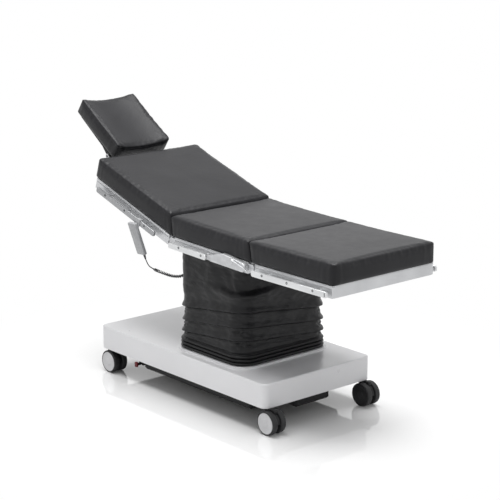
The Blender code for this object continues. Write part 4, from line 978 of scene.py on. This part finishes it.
def pad_block(name, pad):
    """The foam block in its section's frame. A free end has rounded corners, and an end that meets another
    pad is cut straight."""
    spare = [spare_length if met else pad_grow for met in pad.met]
    half_a = pad.half_length + (spare[0] + spare[1]) / 2
    half_b = pad.half_width + pad_grow
    middle = pad.middle + (spare[1] - spare[0]) / 2
    top = pad.floor + pad.height + pad_grow
    foot_edge = pad_edge * 0.8
    foot_steps = 4
    rings = []
    for step in range(foot_steps):
        turn = math.pi / 2 * (1 - step / foot_steps)
        inward = foot_edge * (1 - math.cos(turn))
        low = pad.floor + foot_edge * (1 - math.sin(turn))
        rings.append((half_a - inward, half_b - inward, pad.corner - inward, low))
    rings += edge_arc(half_a, half_b, pad.corner, top, pad_edge, steps=4)
    block = stack_rings(name, rings, (middle, 0), pad_ring_count)
    tidy_normals(block)
    for way, met in zip((-1, 1), pad.met):
        if met:
            cut_across(block, pad.middle + way * pad.half_length, way)
    remesh = block.modifiers.new("even cells", "REMESH")
    remesh.mode = "VOXEL"
    remesh.voxel_size = pad_voxel
    return settle(block)


def shape_block(block, pad):
    """Crown or dish the top, swell the sides and lean the end faces."""
    for vert in block.data.vertices:
        along = (vert.co.x - pad.middle) / pad.half_length
        across = vert.co.y / pad.half_width
        level = (vert.co.z - pad.floor) / pad.height
        rise = (pad.crown * (1 - along ** 2) - pad.dish) * (1 - across ** 2)
        vert.co.z += rise * max(0, level) ** 1.5
        vert.co.y += 2 * MM * (1 - (2 * level - 1) ** 2) * (1 - along ** 2) * across
        lean = pad.leans[0] if along < 0 else pad.leans[1]
        vert.co.x += lean * (2 * level - 1) * along ** 2


def hold_in(block, pad):
    """Keep the pad above its plate, and flat where it is pressed against the next pad."""
    for vert in block.data.vertices:
        vert.co.z = max(vert.co.z, pad.floor + 0.2 * MM)
        if pad.met[0]:
            vert.co.x = max(vert.co.x, pad.middle - pad.half_length)
        if pad.met[1]:
            vert.co.x = min(vert.co.x, pad.middle + pad.half_length)


# %% Pad cover
def blow_up(block, pad):
    """Swell the cover with the cloth simulation, its base held, and limit how far each point moves."""
    rest = np.array([vert.co for vert in block.data.vertices])
    held = block.vertex_groups.new(name="held")
    held.add([v.index for v in block.data.vertices if v.co.z < pad.floor + 4 * MM], 1.0, "REPLACE")
    cloth = block.modifiers.new("cover", "CLOTH")
    settings = cloth.settings
    settings.quality = 4
    settings.mass = 0.4
    settings.tension_stiffness = 80
    settings.compression_stiffness = 80
    settings.shear_stiffness = 30
    settings.bending_stiffness = 2
    settings.vertex_group_mass = "held"
    settings.use_pressure = True
    settings.uniform_pressure_force = cloth_pressure
    settings.effector_weights.gravity = 0
    cloth.collision_settings.use_collision = False
    cloth.point_cache.frame_start = 1
    cloth.point_cache.frame_end = sim_frames
    scene = bpy.context.scene
    for number in range(1, sim_frames + 1):
        scene.frame_set(number)
    graph = bpy.context.evaluated_depsgraph_get()
    now = np.array([vert.co for vert in block.evaluated_get(graph).data.vertices])
    scene.frame_set(1)
    block.modifiers.clear()
    move = now - rest
    reach = np.linalg.norm(move, axis=1, keepdims=True)
    kept = pad_cap * np.tanh(reach / pad_cap) / np.maximum(reach, 1e-9)
    block.data.vertices.foreach_set("co", (rest + move * kept).ravel())
    print(f"{block.name}: swelled up to {reach.max() / MM:.1f} mm, kept under {pad_cap / MM:.1f} mm")


def pucker(block, pad):
    """Small gathers along the top edges, upright ones at the corners, and a welded line below the edge."""
    block.data.update()
    normals = [vert.normal.copy() for vert in block.data.vertices]
    for vert, normal in zip(block.data.vertices, normals):
        x, y, z = vert.co
        if z < pad.floor + 5 * MM:
            continue
        drop = pad.floor + pad.height - z
        side_gap = abs(pad.half_width - abs(y))
        end_gap = abs(pad.half_length - abs(x - pad.middle))
        near_edge = bell(max(0, drop), 22 * MM) * bell(min(side_gap, end_gap), 24 * MM)
        near_corner = bell(math.hypot(side_gap, end_gap), 60 * MM)
        gather = noise.noise(Vector((x * 55, y * 55, z * 12)))
        upright = noise.noise(Vector((x * 60, y * 60, z * 8 + 5)))
        wide = noise.noise(Vector((x * 7, y * 7, z * 7)))
        puckers = 1.5 * MM * gather * near_edge + 1.6 * MM * upright * near_corner
        vert.co += normal * (puckers + 1.4 * MM * wide)
        if abs(normal.z) < 0.5:
            vert.co -= normal * 0.9 * MM * bell(drop - 14 * MM, 1.7 * MM)
    block.data.update()


def make_pad(name, pad):
    block = pad_block(name, pad)
    blow_up(block, pad)
    smooth = block.modifiers.new("finer", "SUBSURF")
    smooth.levels = 1
    smooth.render_levels = 1
    settle(block)
    pucker(block, pad)
    hold_in(block, pad)
    shape_block(block, pad)
    block.data.transform(pad.section.matrix())
    tidy_normals(block)
    finish_piece(block, leather, stands_for=(pad.node,))
    return block


# %% Four pads
seat_pad = make_pad("seat_pad", Pad(
    "seat_cushion", seat, (-202 * MM, 294 * MM), leans=(-6 * MM, -10 * MM), met=(True, True),
))
leg_pad = make_pad("leg_pad", Pad(
    "leg_cushion", leg, (-9 * MM, 467 * MM), leans=(-10 * MM, 0), met=(True, False),
))
back_pad = make_pad("back_pad", Pad(
    "back_cushion", back, (22 * MM, 572 * MM), height=86.5 * MM, leans=(18 * MM, 0), met=(True, False),
))
head_pad = make_pad("head_pad", Pad(
    "head_cushion", head, (-50 * MM, 274 * MM), half_width=146 * MM, floor=31.5 * MM, height=78 * MM,
    corner=11 * MM, crown=0, dish=20 * MM, leans=(-2 * MM, 0),
))
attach(head_pad, "head")

# %% [markdown]
# Where two sections meet, the foam gives way. Here each pad's place is only baked into its points.

# %% Pads across the hinges
def share_bend(pad_object, section, start, end):
    """Bake a pad's place into its points. Start and end are points along and above, in a section; they are
    not used.
    """
    tuple(section.at(start[0], 0, start[1]))
    tuple(section.at(end[0], 0, end[1]))
    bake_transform(pad_object)


share_bend(seat_pad, seat, (-80 * MM, 103.6 * MM), (-198.7 * MM, 231.5 * MM))
share_bend(back_pad, back, (6.5 * MM, 160.4 * MM), (75.5 * MM, 46.7 * MM))
share_bend(leg_pad, leg, (-70 * MM, 167.2 * MM), (42 * MM, 39.9 * MM))

# %% [markdown]
# ## Frames of the sections
# The side bars are extrusions with a narrow groove along the outside, which throws a dark line under the
# edge of the pad. The groove is cut into a copy of each frame.

# %% Grooved frames
bar_face = 275 * MM
groove_depth = 3 * MM
groove_low, groove_high = 4.5 * MM, 7.5 * MM


def grooved(section_name, section, reach, material):
    made = copy_solid(f"{section_name}_frame", f"{section_name}_side_bars")
    for side in (-1, 1):
        across = sorted((side * (bar_face - groove_depth), side * (bar_face + 2 * MM)))
        cutter = box_object(
            "groove", (reach[0], across[0], groove_low), (reach[1], across[1], groove_high), section.matrix(),
        )
        tidy_normals(cutter)
        cut_with(made, cutter)
    round_edges(made, 0.9 * MM)
    finish_piece(made, material, section_name, (f"{section_name}_frame",))


grooved("seat", seat, (-176 * MM, 283 * MM), anodised_seat)
grooved("leg", leg, (24 * MM, 452 * MM), anodised_level)
grooved("back", back, (24 * MM, 549 * MM), anodised_back)

# %% [markdown]
# ## Screws
# Socket screws hold the rails to their standoffs. One tree of nodes sets a screw on each point of a small
# cloud of points and turns it to face outwards.

# %% Screws by Geometry Nodes
def screw_shape():
    """A flat head with a hexagonal socket, lying in X-Y and facing +Z. The profile is in millimetres."""
    sides = 24
    profile = [(4.6, -0.6), (5.0, -0.2), (5.0, 0.5), (4.5, 0.9), (2.9, 0.9), (2.6, 0.6), (2.6, -0.4)]
    socket_radius = 3
    verts, faces = [], []
    for radius, z in profile:
        for k in range(sides):
            turn = 2 * math.pi * k / sides
            shrink = 1.0
            if radius < socket_radius:
                shrink = math.cos(math.pi / 6) / math.cos((turn % (math.pi / 3)) - math.pi / 6)
            reach = radius * shrink * MM
            verts.append((reach * math.cos(turn), reach * math.sin(turn), z * MM))
    count = len(profile)
    for r in range(count - 1):
        for k in range(sides):
            n = (k + 1) % sides
            faces.append((r * sides + k, r * sides + n, (r + 1) * sides + n, (r + 1) * sides + k))
    faces.append(tuple(range(sides))[::-1])
    faces.append(tuple((count - 1) * sides + k for k in range(sides)))
    shape = new_object("screw_shape", verts, faces)
    return tidy_normals(shape)


def screw_tree(shape, material):
    """Instances the screw on every point, facing along each point's own direction."""
    tree = bpy.data.node_groups.new("screws_on_points", "GeometryNodeTree")
    tree.interface.new_socket("Points", in_out="INPUT", socket_type="NodeSocketGeometry")
    tree.interface.new_socket("Screws", in_out="OUTPUT", socket_type="NodeSocketGeometry")
    start = add(tree, "NodeGroupInput")
    screw = add(tree, "GeometryNodeObjectInfo", {"Object": shape}, transform_space="ORIGINAL")
    way = add(tree, "GeometryNodeInputNamedAttribute", {"Name": "facing"}, data_type="FLOAT_VECTOR")
    turn = add(tree, "FunctionNodeAlignRotationToVector", {"Vector": way.outputs["Attribute"]}, axis="Z")
    spread = add(tree, "GeometryNodeInstanceOnPoints", {
        "Points": start.outputs["Points"],
        "Instance": screw.outputs["Geometry"],
        "Rotation": turn.outputs["Rotation"],
    })
    real = add(tree, "GeometryNodeRealizeInstances", {"Geometry": spread.outputs["Instances"]})
    finish = {"Geometry": real.outputs["Geometry"], "Material": material}
    painted = add(tree, "GeometryNodeSetMaterial", finish)
    add(tree, "NodeGroupOutput", {"Screws": painted.outputs["Geometry"]})
    return tree


screw_head = screw_shape()
screws_on_points = screw_tree(screw_head, screw_steel)


def set_screws(name, spots, body):
    """Spots are pairs of a point and the direction that its screw faces."""
    cloud = new_object(name, [spot for spot, _ in spots], [])
    facing = cloud.data.attributes.new("facing", "FLOAT_VECTOR", "POINT")
    facing.data.foreach_set("vector", [value for _, way in spots for value in way])
    spread = cloud.modifiers.new("screws", "NODES")
    spread.node_group = screws_on_points
    settle(cloud)
    cloud.data.polygons.foreach_set("use_smooth", [False] * len(cloud.data.polygons))
    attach(cloud, body)


rail_face = 303 * MM
rail_drop = 8 * MM
outward = {-1: (0, -1, 0), 1: (0, 1, 0)}


def rail_spots(section, stations):
    """A screw on the near and the far rail at each station."""
    spots = []
    for along in stations:
        for side in (-1, 1):
            spots.append((section.at(along, side * rail_face, -rail_drop), outward[side]))
    return spots


set_screws("leg_rail_screws", rail_spots(leg, (93 * MM, 237 * MM, 381 * MM)), "leg")
set_screws("seat_rail_screws", rail_spots(seat, (-118 * MM, 27 * MM)), "seat")
set_screws("back_rail_screws", rail_spots(back, (156 * MM, 301 * MM, 446 * MM)), "back")

# %% [markdown]
# A short dark bar is let into each leg rail near its foot end, upright and almost flush. It is painted shade
# for a slot in the rail.

# %% Painted slot shades
def painted_slot_shade(side):
    low = (444 * MM, side * (rail_face + 0.8 * MM), -19 * MM)
    high = (447 * MM, side * (rail_face - 2 * MM), -3 * MM)
    return tidy_normals(box_object("stop", low, high, leg.matrix()))


# the dark bars are painted shade where the rails' slots are
leg_slot_shades = joined("leg_rail_stops", [painted_slot_shade(side) for side in (-1, 1)])
finish_piece(leg_slot_shades, screw_steel, "leg", smooth=False)

# %% [markdown]
# ## Wheels
# Each caster has two wheels on one axle. A wheel is a black core with a thin soft tread and a slightly
# dished disc on its outer face. The disc is light on the table's outside and black on its inside. All are
# turned profiles, so one function spins a profile round the axle. The profiles are in millimetres.

# %% Wheels
def lathe(name, profile, centre, sides=72):
    """Spin a closed profile of (distance along Y, radius) around an axle along Y."""
    verts, faces = [], []
    for k in range(sides):
        turn = 2 * math.pi * k / sides
        for along, radius in profile:
            spot = (radius * math.sin(turn), along, radius * math.cos(turn))
            verts.append([middle + offset for middle, offset in zip(centre, spot)])
    count = len(profile)
    for k in range(sides):
        n = (k + 1) % sides
        for p in range(count):
            q = (p + 1) % count
            faces.append((k * count + p, k * count + q, n * count + q, n * count + p))
    made = new_object(name, verts, faces)
    return tidy_normals(made)


def tread_profile(side):
    """The soft tread and the black core under it."""
    points = [(10.0, 6.2), (10.0, 47.0), (11.5, 49.3), (14.5, 50.0), (29.5, 50.0), (33.0, 49.2), (35.0, 46.9)]
    points += [(35.2, 44.2), (33.8, 43.4), (30.0, 43.3), (30.0, 6.2)]
    return [(side * along * MM, radius * MM) for along, radius in points]


def hub_profile(side):
    """The disc on a wheel's outer face, a little dished."""
    points = [(30.2, 0.3), (30.2, 43.0), (33.6, 43.2), (35.0, 42.8), (35.3, 42.0), (34.9, 40.9), (34.2, 40.0)]
    points += [(33.9, 30.0), (33.6, 16.0), (33.7, 15.0), (34.6, 14.2), (34.8, 9.0), (34.8, 0.3)]
    return [(side * along * MM, radius * MM) for along, radius in points]


shaft_profile = [(-30.0, 1.0), (30.0, 1.0), (30.0, 6.0), (-30.0, 6.0)]
for number in range(1, 5):
    axle = joint_at[f"caster_{number}_roll"]
    body = f"caster_{number}_roller"
    outer = -1 if axle.y < middle_y else 1
    black_parts = [lathe("tread", tread_profile(side), axle) for side in (-1, 1)]
    black_parts.append(lathe("disc", hub_profile(-outer), axle))
    treads = joined(f"caster_{number}_treads", black_parts)
    hubs = lathe(f"caster_{number}_hubs", hub_profile(outer), axle)
    shaft = lathe(f"caster_{number}_axle", [(y * MM, r * MM) for y, r in shaft_profile], axle, sides=32)
    finish_piece(treads, tread_rubber, body, (f"caster_{number}_wheels",))
    finish_piece(hubs, hub_plastic, body)
    finish_piece(shaft, turned_steel, body)
    for part in (treads, hubs, shaft):
        part.data.set_sharp_from_angle(angle=math.radians(50))

# %% [markdown]
# ## Pedal
# The pedal's arm is black and carries an upright red pad at its end with three grip ribs.

# %% Pedal
dress("brake_pedal", hood_nylon)
pedal_low, pedal_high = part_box("brake_pedal")
pad_depth = 8.4 * MM
pad_skin = 0.6 * MM
rib_count, rib_rise = 3, 0.7 * MM


def build_pedal_pad():
    front = pedal_low.y - pad_skin
    pad = box_object(
        "pedal_pad",
        (pedal_low.x - pad_skin, front, pedal_low.z - pad_skin),
        (pedal_high.x + pad_skin, pedal_low.y + pad_depth, pedal_high.z + pad_skin),
    )
    tidy_normals(pad)
    round_edges(pad, 1.8 * MM, steps=3)
    settle(pad)
    parts = [pad]
    pitch = (pedal_high.z - pedal_low.z) / (rib_count + 1)
    for i in range(rib_count):
        z = pedal_low.z + pitch * (i + 1)
        rib = box_object("rib", (pedal_low.x + 2 * MM, front - rib_rise, z - 1 * MM),
                         (pedal_high.x - 2 * MM, front + 1 * MM, z + 1 * MM))
        parts.append(tidy_normals(rib))
    finish_piece(joined("pedal_pad_red", parts), pedal_red, "pedal", smooth=False)


build_pedal_pad()

# %% [markdown]
# ## Floor and light
# The floor is plain, pale and glossy, and fades to plain white away from the table. The room is plain white
# where it is seen or mirrored, and dimmer where it only lights the table. One wide lamp shines from overhead
# and a weak one from the near side.

# %% Floor
def math_node(tree, operation, first, second):
    return add(tree, "ShaderNodeMath", {0: first, 1: second}, operation=operation).outputs["Value"]


def seen_or_mirrored(tree):
    """The light path node, and a value that is 1 for rays from the camera or a mirroring surface."""
    path = add(tree, "ShaderNodeLightPath")
    return path, math_node(tree, "MAXIMUM", path.outputs["Is Camera Ray"], path.outputs["Is Glossy Ray"])


def build_floor():
    reach = 30
    corners = [(-reach, -reach, 0), (reach, -reach, 0), (reach, reach, 0), (-reach, reach, 0)]
    floor = new_object("floor", corners, [(0, 1, 2, 3)])
    material, tree, shader = start_material("pale_sealed_floor", 0.05)
    shader.inputs["Base Color"].default_value = colour("#fcfcfc")
    shader.inputs["IOR"].default_value = 1.9
    output = tree.nodes["Material Output"]
    coords = add(tree, "ShaderNodeTexCoord")
    distance = add(tree, "ShaderNodeVectorMath", {0: coords.outputs["Object"]}, operation="LENGTH")
    span = {"Value": distance.outputs["Value"], "From Min": 0.5, "From Max": 1.5}
    fade = add(tree, "ShaderNodeMapRange", span, interpolation_type="SMOOTHSTEP")
    share = math_node(tree, "MULTIPLY", fade.outputs["Result"], seen_or_mirrored(tree)[1])
    white = add(tree, "ShaderNodeEmission", {"Color": (1, 1, 1, 1), "Strength": 1.0})
    ways = {"Fac": share, 1: shader.outputs["BSDF"], 2: white.outputs["Emission"]}
    mix = add(tree, "ShaderNodeMixShader", ways)
    tree.links.new(mix.outputs["Shader"], output.inputs["Surface"])
    floor.data.materials.append(material)


build_floor()

# %% World and lamps
def build_world():
    world = bpy.data.worlds.new("soft_room")
    bpy.context.scene.world = world
    world.use_nodes = True
    tree = world.node_tree
    tree.nodes.clear()
    path, seen = seen_or_mirrored(tree)
    any_seen = math_node(tree, "MAXIMUM", seen, path.outputs["Is Transmission Ray"])
    level = add(tree, "ShaderNodeMapRange", {"Value": any_seen, "To Min": 0.53, "To Max": 1.0})
    room = add(tree, "ShaderNodeBackground", {"Color": (1, 1, 1, 1), "Strength": level.outputs["Result"]})
    add(tree, "ShaderNodeOutputWorld", {"Surface": room.outputs["Background"]})


def add_lamp(name, place, target, size, power):
    light = bpy.data.lights.new(name, "AREA")
    light.shape = "SQUARE"
    light.size = size
    light.energy = power
    lamp = bpy.data.objects.new(name, light)
    bpy.context.scene.collection.objects.link(lamp)
    lamp.location = place
    lamp.rotation_euler = (Vector(target) - Vector(place)).to_track_quat("-Z", "Y").to_euler()
    return lamp


build_world()
add_lamp("overhead_lamp", (0.1, 0.0, 4.2), (0, 0, 0.6), 3.0, 212)
near_lamp = add_lamp("near_side_lamp", (-1.2, -4.4, 2.4), (0, 0, 0.5), 2.6, 7)
near_lamp.visible_glossy = False
bpy.context.scene.view_settings.view_transform = "Standard"

# %% [markdown]
# ## Finish
# The loose screw that the others were made from goes.

# %% Finish
bpy.data.objects.remove(screw_head, do_unlink=True)
